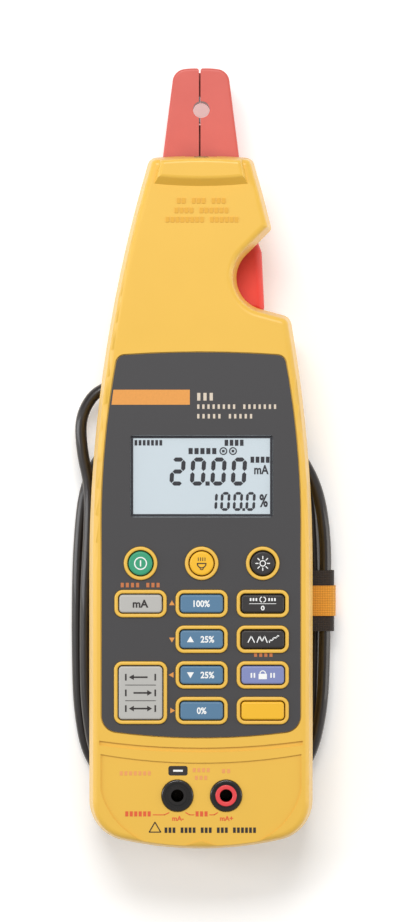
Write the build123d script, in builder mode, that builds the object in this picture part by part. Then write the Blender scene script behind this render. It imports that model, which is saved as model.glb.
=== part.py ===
from build123d import *

import math
import os

os.makedirs("parts", exist_ok=True)

# A milliamp clamp meter lying on its back: +Z out of the front face, +Y towards the jaws,
# +X to the reader's right.  The origin is under the middle of the meter, on the surface.

# ---- driving dimensions, millimetres ------------------------------------------------------
LENGTH = 246.2
WIDTH = 70.4
THICKNESS = 43.7
WALL = 2.2
FIT = 0.3                       # gap between parts that slide past each other

HALF = WIDTH / 2
TOP_Y = LENGTH / 2              # tip of the jaws
HEEL_Y = -LENGTH / 2            # bottom of the case
WAIST_Y = -35.0                 # below this the sides are straight
FLANK_R = 451.0                 # above it each side is one long arc
HOOD_Y = 94.6                   # top corners of the hood
HOOD_CORNER_R = 3.0
HEEL_CORNER_Y = -117.5
HEEL_R = 13.0
NOTCH_ROOT = (1.7, 51.5)        # where the straight edges of the trigger's cut-out would meet
NOTCH_R = 10.1
BODY_TOP_Y = 42.0               # the rear case ends here, and the open dock begins

BACK_Z = 12.0                   # back wall, in the cable channel round the battery box
PART_Z = 24.0                   # parting line of the two case halves
FACE_Z = 40.5
COLLAR_Z = THICKNESS
PANEL_Z = FACE_Z + 0.1          # top of the control panel
CAVITY_Z = FACE_Z - WALL        # inside of the front wall
SIDE_TAPER = 5.0                # the front case narrows towards its face, degrees

DOCK_HALF = 14.2                # half width of the dock for the handpiece
DOCK_Y = 19.0                   # closed end of the dock
HAND_HALF = 13.4
HAND_TAIL_Y = 20.0
HAND_TOP_Y = 93.5
HAND_Z0 = 5.0
HAND_Z1 = 23.6
HAND_PART_Z = 14.0
HAND_WALL = 1.8

BOX_HALF = 31.5                 # battery box, standing out of the back
BOX_Y0 = -98.0
BOX_Y1 = 2.0
BOX_R = 14.0

COLUMNS = (-18.9, 0.2, 19.3)
ROUND_ROW_Y = -32.9
ROW_Y = -45.5
ROW_PITCH = 11.15
KEY_SIZE = (13.3, 5.6)
TALL_KEY_SIZE = (13.6, 16.6)
ROUND_KEY_R = 3.75
KEY_GAP = 0.35
RIM_WIDTH = 1.15
RIM_Z = FACE_Z + 0.9
KEY_TOP_Z = RIM_Z + 0.5
KEY_FOOT_Z = 33.0
KEY_TRAVEL = 0.8

BOARD_Z0 = 27.0
BOARD_Z1 = 28.6

SCREEN = (44.6, 25.5)           # window with its dark border
SCREEN_CENTRE = (0.2, -5.65)

JACK_Y = -105.6
JACKS = {"com": -7.4, "ma": 7.85}
JACK_R = 5.0
JACK_BORE_R = 2.0
JACK_FLOOR_Z = 16.0

PIVOT = (6.0, 82.0)
PIVOT_R = 1.5
JAW_Z0 = 8.5
JAW_Z1 = 21.5
HOLE = (0.1, 110.1)             # the conductor hole
HOLE_R = 2.65
CORE_R = 4.0
SPLIT_X = -0.4
SPLIT_GAP = 0.5

CELL_R = 7.25
CELL_LENGTH = 50.5
CELL_PITCH = 14.6
CELL_Z = 9.75
CELLS_Y = -50.0

CABLE_D = 3.7
UPPER_TURN_Z = 8.6
LOWER_TURN_Z = 3.6


def save(piece, name):
    """Label one finished piece and write its file."""
    piece.part.label = name
    export_step(piece.part, f"parts/{name}.step")
    print(f"{name}: {piece.part.volume:.1f} mm3 in {len(piece.part.solids())} solid(s)")


# ---- outlines shared by several pieces ------------------------------------------------------
def flank_x(y):
    """Half width of the case at height y."""
    if y < WAIST_Y:
        return HALF
    return HALF - FLANK_R + math.sqrt(FLANK_R**2 - (y - WAIST_Y) ** 2)


def hood_plan(inset=0.0):
    """Plan of the front case: straight sides, long flanks, and the trigger's cut-out."""
    top = flank_x(HOOD_Y)
    middle_y = (HOOD_Y + WAIST_Y) / 2
    middle = flank_x(middle_y)
    with BuildSketch() as plan:
        with BuildLine():
            Line((HALF, HEEL_CORNER_Y), (HALF, WAIST_Y))
            ThreePointArc((HALF, WAIST_Y), (middle, middle_y), (top, HOOD_Y))
            ThreePointArc((top, HOOD_Y), (0, HOOD_Y + 0.7), (-top, HOOD_Y))
            ThreePointArc((-top, HOOD_Y), (-middle, middle_y), (-HALF, WAIST_Y))
            Line((-HALF, WAIST_Y), (-HALF, HEEL_CORNER_Y))
            ThreePointArc((-HALF, HEEL_CORNER_Y), (0, HEEL_Y), (HALF, HEEL_CORNER_Y))
        make_face()
        fillet(plan.vertices().group_by(Axis.Y)[0], HEEL_R)
        fillet(plan.vertices().group_by(Axis.Y)[-1], HOOD_CORNER_R)
        with BuildLine():
            Polyline(NOTCH_ROOT, (33.2, 83.0), (44.0, 83.0), (44.0, 40.35), close=True)
        make_face(mode=Mode.SUBTRACT)
        fillet(plan.vertices().sort_by_distance(NOTCH_ROOT)[0], NOTCH_R)
        lobe_tip = plan.vertices().filter_by(lambda v: v.X > 19 and v.Y > 65)
        fillet(lobe_tip, 1.6)
        shoulder = plan.vertices().filter_by(lambda v: v.X > 24 and 35 < v.Y < 50)
        fillet(shoulder, 3.6)
        if inset:
            offset(amount=-inset, kind=Kind.INTERSECTION)
    return plan.sketch


def body_plan(inset=0.0):
    """Plan of the rear case: the lower body, with the dock cut out of its top."""
    up = (Align.CENTER, Align.MIN)
    with BuildSketch() as plan:
        add(hood_plan(inset))
        with Locations((0, BODY_TOP_Y - inset)):
            Rectangle(2 * WIDTH, LENGTH, align=up, mode=Mode.SUBTRACT)
        with Locations((0, DOCK_Y - inset)):
            Rectangle(2 * (DOCK_HALF + inset), LENGTH, align=up, mode=Mode.SUBTRACT)
    return plan.sketch


def box_plan(inset=0.0):
    """Plan of the battery box."""
    with BuildSketch() as plan:
        with Locations((0, (BOX_Y0 + BOX_Y1) / 2)):
            RectangleRounded(
                2 * (BOX_HALF - inset), BOX_Y1 - BOX_Y0 - 2 * inset, BOX_R - inset
            )
    return plan.sketch


def panel_plan(inset=0.0):
    """Plan of the dark control panel."""
    with BuildSketch() as plan:
        with BuildLine():
            Line((31.4, -85.3), (31.4, -25.8))
            ThreePointArc((31.4, -25.8), (30.1, 6.5), (26.4, 32.4))
            ThreePointArc((26.4, 32.4), (0, 33.4), (-26.4, 32.4))
            ThreePointArc((-26.4, 32.4), (-30.1, 6.5), (-31.4, -25.8))
            Line((-31.4, -25.8), (-31.4, -85.3))
            ThreePointArc((-31.4, -85.3), (0, -87.7), (31.4, -85.3))
        make_face()
        fillet(plan.vertices().group_by(Axis.Y)[-1], 3.2)
        fillet(plan.vertices().group_by(Axis.Y)[0], 5.5)
        if inset:
            offset(amount=-inset, kind=Kind.INTERSECTION)
    return plan.sketch


# ---- the keys: name, place, and half sizes ---------------------------------------------------
def row(number):
    return ROW_Y - ROW_PITCH * number


ROUND_KEYS = {
    "power_key": (COLUMNS[0], ROUND_ROW_Y),
    "lamp_key": (COLUMNS[1], ROUND_ROW_Y),
    "backlight_key": (COLUMNS[2], ROUND_ROW_Y),
}
WIDE_KEYS = {
    "current_key": (COLUMNS[0], row(0)),
    "full_scale_key": (COLUMNS[1], row(0)),
    "step_up_key": (COLUMNS[1], row(1)),
    "step_down_key": (COLUMNS[1], row(2)),
    "zero_scale_key": (COLUMNS[1], row(3)),
    "clamp_zero_key": (COLUMNS[2], row(0)),
    "ramp_key": (COLUMNS[2], row(1)),
    "hold_key": (COLUMNS[2], row(2)),
    "blank_key": (COLUMNS[2], row(3)),
}
TALL_KEYS = {"mode_key": (COLUMNS[0], (row(2) + row(3)) / 2)}


def key_plan(grow=0.0):
    """Plan of every key at once, grown by a margin all round."""
    with BuildSketch() as plan:
        with Locations(*ROUND_KEYS.values()):
            Circle(ROUND_KEY_R + grow)
        with Locations(*WIDE_KEYS.values()):
            RectangleRounded(KEY_SIZE[0] + 2 * grow, KEY_SIZE[1] + 2 * grow, 1.1 + grow)
        with Locations(*TALL_KEYS.values()):
            RectangleRounded(TALL_KEY_SIZE[0] + 2 * grow, TALL_KEY_SIZE[1] + 2 * grow, 1.1 + grow)
    return plan.sketch


CASE_SCREWS = ((-24.0, -112.0), (24.0, -112.0), (-21.5, 32.0), (21.5, 32.0))
BOARD_SCREWS = ((-27.2, -93.0), (27.2, -93.0), (-25.3, 15.5), (25.3, 15.5))
DOCK_SCREWS = ((-9.5, 88.0), (9.5, 88.0), (-18.5, 47.0), (9.5, 24.0), (-9.5, 24.0))
POST_R = 3.4
SMALL_POST_R = 2.2
DOCK_PLATE_Z1 = PART_Z + 1.6

# ---- front case -------------------------------------------------------------------------------
with BuildPart() as key_rims:
    with BuildSketch(Plane.XY.offset(CAVITY_Z - 0.6)):
        add(key_plan(KEY_GAP + RIM_WIDTH))
        add(key_plan(KEY_GAP), mode=Mode.SUBTRACT)
    extrude(amount=RIM_Z - CAVITY_Z + 0.6)
    fillet(key_rims.edges().group_by(Axis.Z)[-1], 0.4)

with BuildPart() as front_case:
    with BuildSketch(Plane.XY.offset(PART_Z)):
        add(hood_plan())
    extrude(amount=FACE_Z - PART_Z, taper=SIDE_TAPER)
    fillet(front_case.faces().sort_by(Axis.Z)[-1].outer_wire().edges(), 1.9)
    # the collar over the root of the jaws slopes down to the face on three sides
    with BuildSketch(Plane.XY.offset(FACE_Z - 1.4)):
        with BuildLine():
            ThreePointArc((-15.2, 84.8), (0.0, 84.0), (15.2, 84.8))
            Line((15.2, 84.8), (13.3, 93.3))
            ThreePointArc((13.3, 93.3), (0.0, 93.9), (-13.3, 93.3))
            Line((-13.3, 93.3), (-15.2, 84.8))
        make_face()
    with BuildSketch(Plane.XY.offset(COLLAR_Z)):
        with BuildLine():
            ThreePointArc((-13.2, 88.2), (0.0, 87.6), (13.2, 88.2))
            Line((13.2, 88.2), (12.2, 93.0))
            ThreePointArc((12.2, 93.0), (0.0, 93.6), (-12.2, 93.0))
            Line((-12.2, 93.0), (-13.2, 88.2))
        make_face()
    loft()
    fillet(front_case.faces().sort_by(Axis.Z)[-1].outer_wire().edges(), 1.2)
    # hollow inside
    with BuildSketch(Plane.XY.offset(PART_Z)):
        add(hood_plan(WALL))
    extrude(amount=CAVITY_Z - PART_Z, taper=SIDE_TAPER, mode=Mode.SUBTRACT)
    # seat of the control panel
    with BuildSketch(Plane.XY.offset(FACE_Z - 0.7)):
        add(panel_plan())
    extrude(amount=2.0, mode=Mode.SUBTRACT)
    # a raised rim round every key, and the hole that the key works in
    add(key_rims.part)
    with BuildSketch(Plane.XY.offset(CAVITY_Z - 1.0)):
        add(key_plan(KEY_GAP))
    extrude(amount=6.0, mode=Mode.SUBTRACT)
    # display opening
    with BuildSketch(Plane.XY.offset(CAVITY_Z - 1.0)):
        with Locations(SCREEN_CENTRE):
            RectangleRounded(SCREEN[0] + 1.0, SCREEN[1] + 1.0, 1.4)
    extrude(amount=6.0, mode=Mode.SUBTRACT)
    # the foot of the face is set down a little, round the jacks, below a soft double rib
    with BuildSketch(Plane.XY.offset(FACE_Z - 0.6)):
        with BuildLine():
            ThreePointArc((-31.4, -92.6), (0, -95.3), (31.4, -92.6))
            Line((31.4, -92.6), (31.4, -104.0))
            ThreePointArc((31.4, -104.0), (22.5, -117.3), (0, -119.6))
            ThreePointArc((0, -119.6), (-22.5, -117.3), (-31.4, -104.0))
            Line((-31.4, -104.0), (-31.4, -92.6))
        make_face()
    extrude(amount=2.0, mode=Mode.SUBTRACT)
    with BuildSketch(Plane.XY.offset(FACE_Z - 0.7)):
        with BuildLine():
            ThreePointArc((-31.8, -88.4), (0, -90.6), (31.8, -88.4))
            Line((31.8, -88.4), (31.8, -89.8))
            ThreePointArc((31.8, -89.8), (0, -92.0), (-31.8, -89.8))
            Line((-31.8, -89.8), (-31.8, -88.4))
        make_face()
    extrude(amount=2.0, mode=Mode.SUBTRACT)
    # holes for the jacks
    with BuildSketch(Plane.XY.offset(PART_Z)):
        with Locations(*[(x, JACK_Y) for x in JACKS.values()]):
            Circle(JACK_R + 0.1)
    extrude(amount=20.0, mode=Mode.SUBTRACT)
    # screw posts
    with BuildSketch(Plane.XY.offset(PART_Z)):
        with Locations(*CASE_SCREWS):
            Circle(POST_R)
    extrude(amount=CAVITY_Z - PART_Z + 0.2)
    with BuildSketch(Plane.XY.offset(PART_Z)):
        with Locations(*CASE_SCREWS):
            Circle(1.25)
    extrude(amount=9.0, mode=Mode.SUBTRACT)
    for spots, foot_z in ((BOARD_SCREWS, BOARD_Z1), (DOCK_SCREWS, DOCK_PLATE_Z1)):
        with BuildSketch(Plane.XY.offset(foot_z)):
            with Locations(*spots):
                Circle(SMALL_POST_R)
        extrude(amount=CAVITY_Z + 0.2 - foot_z)
        with BuildSketch(Plane.XY.offset(foot_z)):
            with Locations(*spots):
                Circle(0.9)
        extrude(amount=5.6, mode=Mode.SUBTRACT)
    # the end wall lets the handpiece's rail through, and holds the work light
    with Locations((0, 90.0, PART_Z)):
        Box(10.0, 12.0, 3.8, align=(Align.CENTER, Align.MIN, Align.MIN), mode=Mode.SUBTRACT)
    with BuildSketch(Plane.XZ.offset(-96.5)):
        with Locations((0, 33.2)):
            Circle(2.6)
    extrude(amount=8.0, mode=Mode.SUBTRACT)
save(front_case, "front_case")

# ---- rear case ----------------------------------------------------------------------------------
DOOR_Y0 = -88.0
DOOR_Y1 = -14.0
DOOR_HALF = 29.0
DOOR_Z0 = 0.3
DOOR_Z1 = 2.3
FASTENERS_Y = (-84.0, -18.0)
POCKET_Y0 = -79.2
POCKET_Y1 = -20.8
POCKET_HALF = 29.4
POCKET_Z = 17.4
with BuildPart() as rear_case:
    with BuildSketch(Plane.XY.offset(BACK_Z)):
        add(body_plan())
    extrude(amount=PART_Z - BACK_Z)
    fillet(rear_case.edges().group_by(Axis.Z)[0], 1.2)
    with BuildSketch(Plane.XY.offset(BACK_Z + 2.0)):
        add(body_plan(WALL))
    extrude(amount=PART_Z - BACK_Z, mode=Mode.SUBTRACT)
    # the battery box stands out of the back, and is what the meter rests on
    with BuildSketch(Plane.XY):
        add(box_plan())
    extrude(amount=BACK_Z + 1.0)
    fillet(rear_case.edges().group_by(Axis.Z)[0], 1.0)
    with BuildSketch(Plane.XY.offset(4.4)):
        add(box_plan(2.0))
    extrude(amount=PART_Z, mode=Mode.SUBTRACT)
    # tub that keeps the cells apart from the electronics
    with Locations((0, CELLS_Y, 2.0)):
        Box(
            2 * POCKET_HALF + 3.0, POCKET_Y1 - POCKET_Y0 + 3.0, POCKET_Z + 1.5 - 2.0,
            align=(Align.CENTER, Align.CENTER, Align.MIN),
        )
        Box(
            2 * POCKET_HALF, POCKET_Y1 - POCKET_Y0, POCKET_Z - 2.0,
            align=(Align.CENTER, Align.CENTER, Align.MIN), mode=Mode.SUBTRACT,
        )
    # seat of the door, open to the tub
    with Locations((0, (DOOR_Y0 + DOOR_Y1) / 2, 0)):
        Box(
            2 * (DOOR_HALF + FIT), DOOR_Y1 - DOOR_Y0 + 2 * FIT, 2 * (DOOR_Z1 + 0.2),
            mode=Mode.SUBTRACT,
        )
    with Locations(*[(0, y, 0) for y in FASTENERS_Y]):
        Cylinder(2.5, 20.0, mode=Mode.SUBTRACT)
    # posts for the case screws, with deep holes for their heads
    with BuildSketch(Plane.XY.offset(BACK_Z + 1.0)):
        with Locations(*CASE_SCREWS):
            Circle(POST_R)
    extrude(amount=PART_Z - BACK_Z - 1.0)
    with BuildSketch(Plane.XY.offset(BACK_Z - 1.0)):
        with Locations(*CASE_SCREWS):
            Circle(1.7)
    extrude(amount=PART_Z, mode=Mode.SUBTRACT)
    with BuildSketch(Plane.XY.offset(BACK_Z - 1.0)):
        with Locations(*CASE_SCREWS):
            Circle(3.0)
    extrude(amount=4.0, mode=Mode.SUBTRACT)
    # groove for the seal
    with BuildSketch(Plane.XY.offset(PART_Z - 0.8)):
        add(body_plan(0.7))
        add(body_plan(1.5), mode=Mode.SUBTRACT)
    extrude(amount=2.0, mode=Mode.SUBTRACT)
save(rear_case, "rear_case")

with BuildPart() as case_seal:
    with BuildSketch(Plane.XY.offset(PART_Z - 0.8)):
        add(body_plan(0.7))
        add(body_plan(1.5), mode=Mode.SUBTRACT)
    extrude(amount=0.8)
save(case_seal, "case_seal")

# ---- dock for the handpiece, under the hood ------------------------------------------------------
RAIL_STEM = 2.4
RAIL_HEAD = 4.4
RAIL_Y0 = 30.0
RAIL_Y1 = 85.0
with BuildPart() as dock_plate:
    with BuildSketch(Plane.XY.offset(PART_Z)):
        add(hood_plan(WALL + 0.25))
        with Locations((0, DOCK_Y - 2.4)):
            Rectangle(2 * WIDTH, LENGTH, align=(Align.CENTER, Align.MAX), mode=Mode.SUBTRACT)
        with Locations(*CASE_SCREWS):
            Circle(POST_R + 0.3, mode=Mode.SUBTRACT)
        with Locations((0, RAIL_Y0 - 2.0)):
            Rectangle(
                2 * (RAIL_STEM + FIT), LENGTH, align=(Align.CENTER, Align.MIN),
                mode=Mode.SUBTRACT,
            )
        with Locations(*DOCK_SCREWS):
            Circle(1.15, mode=Mode.SUBTRACT)
    extrude(amount=DOCK_PLATE_Z1 - PART_Z)
    with BuildSketch(Plane.XY.offset(PART_Z - 1.0)):
        with Locations(*DOCK_SCREWS):
            Circle(2.0)
    extrude(amount=1.9, mode=Mode.SUBTRACT)
save(dock_plate, "dock_plate")

# ---- control panel and display --------------------------------------------------------------------
with BuildPart() as control_panel:
    with BuildSketch(Plane.XY.offset(FACE_Z - 0.65)):
        add(panel_plan(0.35))
        add(key_plan(KEY_GAP + RIM_WIDTH + 0.1), mode=Mode.SUBTRACT)
        with Locations(SCREEN_CENTRE):
            RectangleRounded(SCREEN[0] + 0.1, SCREEN[1] + 0.1, 1.0, mode=Mode.SUBTRACT)
    extrude(amount=PANEL_Z - FACE_Z + 0.65)
save(control_panel, "control_panel")

WINDOW_Z0 = FACE_Z - 0.7
with BuildPart() as display_window:
    with BuildSketch(Plane.XY.offset(WINDOW_Z0)):
        with Locations(SCREEN_CENTRE):
            RectangleRounded(SCREEN[0] - 0.1, SCREEN[1] - 0.1, 0.9)
    extrude(amount=PANEL_Z - WINDOW_Z0)
save(display_window, "display_window")

CELL_TOP_Z = WINDOW_Z0 - 0.15
with BuildPart() as display_cell:
    with Locations((*SCREEN_CENTRE, CELL_TOP_Z)):
        Box(44.6, 25.6, 2.2, align=(Align.CENTER, Align.CENTER, Align.MAX))
    fillet(display_cell.edges().filter_by(Axis.Z), 0.4)
save(display_cell, "display_cell")

BACKLIGHT_Z1 = CELL_TOP_Z - 2.3
with BuildPart() as display_backlight:
    with Locations((*SCREEN_CENTRE, BACKLIGHT_Z1)):
        Box(44.0, 25.0, 3.0, align=(Align.CENTER, Align.CENTER, Align.MAX))
    chamfer(display_backlight.edges().group_by(Axis.Z)[0], 0.6)
save(display_backlight, "display_backlight")

with BuildPart() as display_frame:
    with BuildSketch(Plane.XY.offset(BOARD_Z1)):
        with Locations(SCREEN_CENTRE):
            RectangleRounded(48.6, 29.6, 1.5)
            RectangleRounded(45.0, 26.0, 0.8, mode=Mode.SUBTRACT)
    extrude(amount=CAVITY_Z - 0.1 - BOARD_Z1)
save(display_frame, "display_frame")

# ---- keys -----------------------------------------------------------------------------------------
FLANGE = 0.9                    # each key has a flange under the rim that keeps it in
FLANGE_Z1 = CAVITY_Z - 0.6 - 0.15
for key_name, place in {**ROUND_KEYS, **WIDE_KEYS, **TALL_KEYS}.items():
    with BuildPart() as key:
        for low, high, grow in ((KEY_FOOT_Z, FLANGE_Z1, FLANGE), (FLANGE_Z1, KEY_TOP_Z, 0.0)):
            with BuildSketch(Plane.XY.offset(low)):
                with Locations(place):
                    if key_name in ROUND_KEYS:
                        Circle(ROUND_KEY_R + grow)
                    elif key_name in TALL_KEYS:
                        RectangleRounded(
                            TALL_KEY_SIZE[0] + 2 * grow, TALL_KEY_SIZE[1] + 2 * grow, 1.1 + grow
                        )
                    else:
                        RectangleRounded(KEY_SIZE[0] + 2 * grow, KEY_SIZE[1] + 2 * grow, 1.1 + grow)
            extrude(amount=high - low)
        fillet(key.edges().group_by(Axis.Z)[-1], 0.55)
    save(key, key_name)

MAT_Z1 = 30.0
NUB_Z1 = KEY_FOOT_Z - KEY_TRAVEL - 0.2
with BuildPart() as keypad_mat:
    with BuildSketch(Plane.XY.offset(BOARD_Z1)):
        with Locations((0.2, -56.5)):
            RectangleRounded(56.0, 58.0, 2.0)
    extrude(amount=MAT_Z1 - BOARD_Z1)
    with BuildSketch(Plane.XY.offset(MAT_Z1 - 0.1)):
        with Locations(*ROUND_KEYS.values(), *WIDE_KEYS.values(), *TALL_KEYS.values()):
            Circle(2.1)
    extrude(amount=NUB_Z1 - MAT_Z1 + 0.1, taper=12)
save(keypad_mat, "keypad_mat")

# ---- main board -------------------------------------------------------------------------------------
with BuildPart() as main_board:
    with BuildSketch(Plane.XY.offset(BOARD_Z0)):
        with BuildLine():
            Polyline(
                (-30.0, -98.0), (30.0, -98.0), (30.0, -40.0), (28.0, 20.0),
                (-28.0, 20.0), (-30.0, -40.0), close=True,
            )
        make_face()
        with Locations(*BOARD_SCREWS):
            Circle(1.2, mode=Mode.SUBTRACT)
    extrude(amount=BOARD_Z1 - BOARD_Z0)
save(main_board, "main_board")

# chips, a relay, a fuse and capacitors on the underside of the board: x, y, length, width, height
COMPONENTS = (
    (-20.0, 6.0, 10.0, 10.0, 1.4),
    (-4.0, 8.0, 7.0, 5.0, 1.2),
    (8.0, 7.0, 5.0, 4.0, 1.2),
    (21.0, 5.0, 9.0, 12.0, 4.5),
    (-17.5, -91.5, 12.0, 6.0, 3.2),
    (0.0, -91.5, 8.0, 7.0, 3.5),
    (17.0, -91.0, 6.0, 5.0, 2.0),
)
with BuildPart() as board_parts:
    for x, y, length, width, height in COMPONENTS:
        with Locations((x, y, BOARD_Z0)):
            Box(length, width, height, align=(Align.CENTER, Align.CENTER, Align.MAX))
save(board_parts, "board_parts")


def screws(spots, tip_z, seat_z, head_top_z, shank_r, head_r):
    """Pan-head screws along Z; the head stands from seat_z to head_top_z, with a cross slot."""
    with BuildPart() as group:
        with BuildSketch(Plane.XY.offset(min(tip_z, seat_z))):
            with Locations(*spots):
                Circle(shank_r)
        extrude(amount=abs(seat_z - tip_z))
        with BuildSketch(Plane.XY.offset(min(seat_z, head_top_z))):
            with Locations(*spots):
                Circle(head_r)
        extrude(amount=abs(head_top_z - seat_z))
        outward = 1 if head_top_z > seat_z else -1
        depth = 0.5 * abs(head_top_z - seat_z)
        with BuildSketch(Plane.XY.offset(head_top_z - outward * depth)):
            with Locations(*spots):
                Rectangle(1.3 * head_r, 0.28 * head_r)
                Rectangle(0.28 * head_r, 1.3 * head_r)
        extrude(amount=outward * 2 * depth, mode=Mode.SUBTRACT)
    return group


save(screws(BOARD_SCREWS, 32.8, BOARD_Z0, BOARD_Z0 - 1.3, 0.85, 1.8), "board_screws")
save(screws(DOCK_SCREWS, 31.0, PART_Z + 0.85, PART_Z + 0.1, 0.85, 1.75), "dock_screws")
save(screws(CASE_SCREWS, 32.0, BACK_Z + 3.0, BACK_Z + 1.2, 1.2, 2.7), "case_screws")

# ---- jacks ------------------------------------------------------------------------------------------
JACK_TOP_Z = FACE_Z - 0.6 + 0.7
SLEEVE = 20.0                   # length of the spring sleeve in each jack
SLEEVE_WALL = 0.5
MA_COLLAR_R = 3.35
for jack, jack_x in JACKS.items():
    with BuildPart() as housing:
        with BuildSketch(Plane.XY.offset(JACK_FLOOR_Z - 1.5)):
            with Locations((jack_x, JACK_Y)):
                Circle(JACK_R)
        extrude(amount=JACK_TOP_Z - JACK_FLOOR_Z + 1.5)
        fillet(housing.edges().group_by(Axis.Z)[-1], 0.5)
        # a dished face inside the rim
        with BuildSketch(Plane.XY.offset(JACK_TOP_Z - 0.7)):
            with Locations((jack_x, JACK_Y)):
                Circle(JACK_R - 1.0)
                Circle(2.9, mode=Mode.SUBTRACT)
        extrude(amount=1.0, mode=Mode.SUBTRACT)
        throat_r = MA_COLLAR_R if jack == "ma" else JACK_BORE_R
        upright = (Align.CENTER, Align.CENTER, Align.MIN)
        with Locations((jack_x, JACK_Y, JACK_FLOOR_Z)):
            Cylinder(JACK_BORE_R + SLEEVE_WALL, SLEEVE, align=upright, mode=Mode.SUBTRACT)
        with Locations((jack_x, JACK_Y, JACK_FLOOR_Z + SLEEVE)):
            Cylinder(throat_r, SLEEVE, align=upright, mode=Mode.SUBTRACT)
    save(housing, f"{jack}_jack_housing")

    with BuildPart() as contact:
        with BuildSketch(Plane.XY.offset(JACK_FLOOR_Z)):
            with Locations((jack_x, JACK_Y)):
                Circle(JACK_BORE_R + SLEEVE_WALL)
                Circle(JACK_BORE_R, mode=Mode.SUBTRACT)
        extrude(amount=SLEEVE)
        with Locations((jack_x, JACK_Y, JACK_FLOOR_Z)):
            Cylinder(JACK_BORE_R + SLEEVE_WALL, 1.0, align=upright)
    save(contact, f"{jack}_jack_contact")

with BuildPart() as ma_jack_collar:
    with BuildSketch(Plane.XY.offset(JACK_FLOOR_Z + SLEEVE)):
        with Locations((JACKS["ma"], JACK_Y)):
            Circle(MA_COLLAR_R)
            Circle(JACK_BORE_R, mode=Mode.SUBTRACT)
    extrude(amount=JACK_TOP_Z + 0.25 - JACK_FLOOR_Z - SLEEVE)
    fillet(ma_jack_collar.edges().group_by(Axis.Z)[-1], 0.3)
save(ma_jack_collar, "ma_jack_collar")

# ---- batteries, four in a row across the back ------------------------------------------------------------
CELL_XS = [CELL_PITCH * (number - 1.5) for number in range(4)]
with BuildPart() as battery_cells:
    for x in CELL_XS:
        with BuildSketch(Plane.XZ.offset(-CELLS_Y - CELL_LENGTH / 2)):
            with Locations((x, CELL_Z)):
                Circle(CELL_R)
        extrude(amount=CELL_LENGTH - 1.4)
    fillet(battery_cells.edges().filter_by(GeomType.CIRCLE), 0.5)
    for number, x in enumerate(CELL_XS):
        end = 1 if number % 2 else -1
        with Locations(Location((x, CELLS_Y + end * (CELL_LENGTH / 2 - 1.0), CELL_Z), (90, 0, 0))):
            Cylinder(2.7, 2.0)
save(battery_cells, "battery_cells")

with BuildPart() as battery_springs:
    for number, x in enumerate(CELL_XS):
        end = -1 if number % 2 else 1
        flat_end = CELLS_Y + end * CELL_LENGTH / 2
        wall = POCKET_Y1 - 0.4 if end > 0 else POCKET_Y0 + 0.4
        middle = (flat_end + wall) / 2
        with Locations(Location((x, middle, CELL_Z), (-90 * end, 0, 0))):
            Cone(2.6, 4.4, abs(wall - flat_end))
save(battery_springs, "battery_springs")

with BuildPart() as battery_contacts:
    for number, x in enumerate(CELL_XS):
        nub_end = 1 if number % 2 else -1
        for end, wall in ((1, POCKET_Y1), (-1, POCKET_Y0)):
            with Locations((x, wall - end * 0.2, CELL_Z)):
                Box(11.0, 0.4, 11.0)
            if end == nub_end:
                nub = CELLS_Y + end * CELL_LENGTH / 2
                with Locations(Location((x, (nub + wall) / 2, CELL_Z), (90, 0, 0))):
                    Cylinder(2.0, abs(wall - nub))
save(battery_contacts, "battery_contacts")

# ---- battery door, with two quarter-turn fasteners ------------------------------------------------------------
HEAD_R = 3.4
SHANK_R = 2.1
HEAD_Z0 = 0.5
HEAD_Z1 = 1.4
with BuildPart() as battery_door:
    with BuildSketch(Plane.XY.offset(DOOR_Z0)):
        with Locations((0, (DOOR_Y0 + DOOR_Y1) / 2)):
            RectangleRounded(2 * DOOR_HALF, DOOR_Y1 - DOOR_Y0, 1.5)
        with Locations(*[(0, y) for y in FASTENERS_Y]):
            Circle(SHANK_R + 0.15, mode=Mode.SUBTRACT)
    extrude(amount=DOOR_Z1 - DOOR_Z0)
    with BuildSketch(Plane.XY.offset(DOOR_Z0 - 1.0)):
        with Locations(*[(0, y) for y in FASTENERS_Y]):
            Circle(HEAD_R + 0.3)
    extrude(amount=HEAD_Z1 + 0.1 - DOOR_Z0 + 1.0, mode=Mode.SUBTRACT)
    # shallow grooves to grip
    with BuildSketch(Plane.XY.offset(DOOR_Z0 - 1.0)):
        with GridLocations(0, 3.0, 1, 5):
            with Locations((0, -66.0)):
                SlotOverall(26.0, 1.3)
    extrude(amount=1.5, mode=Mode.SUBTRACT)
save(battery_door, "battery_door")

for side, y in zip(("lower", "upper"), FASTENERS_Y):
    with BuildPart() as door_fastener:
        with BuildSketch(Plane.XY.offset(HEAD_Z0)):
            with Locations((0, y)):
                Circle(HEAD_R)
        extrude(amount=HEAD_Z1 - HEAD_Z0)
        with Locations((0, y, HEAD_Z1)):
            Cylinder(SHANK_R, 4.6, align=(Align.CENTER, Align.CENTER, Align.MIN))
        with Locations((0, y, HEAD_Z0)):
            Box(5.4, 1.3, 1.1, mode=Mode.SUBTRACT)
    save(door_fastener, f"{side}_door_fastener")

# ---- work light in the end of the hood ----------------------------------------------------------------------
LIGHT_Z = 33.2
with BuildPart() as spotlight_lens:
    with BuildSketch(Plane.XZ.offset(-94.7)):
        with Locations((0, LIGHT_Z)):
            Circle(2.5)
    extrude(amount=3.0)
    fillet(spotlight_lens.edges().group_by(Axis.Y)[-1], 0.6)
save(spotlight_lens, "spotlight_lens")

with BuildPart() as spotlight_lamp:
    with BuildSketch(Plane.XZ.offset(-91.5)):
        with Locations((0, LIGHT_Z)):
            Circle(1.5)
    extrude(amount=3.2)
    with Locations((0, 87.8, LIGHT_Z)):
        Box(12.0, 1.2, 7.0)
save(spotlight_lamp, "spotlight_lamp")

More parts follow.
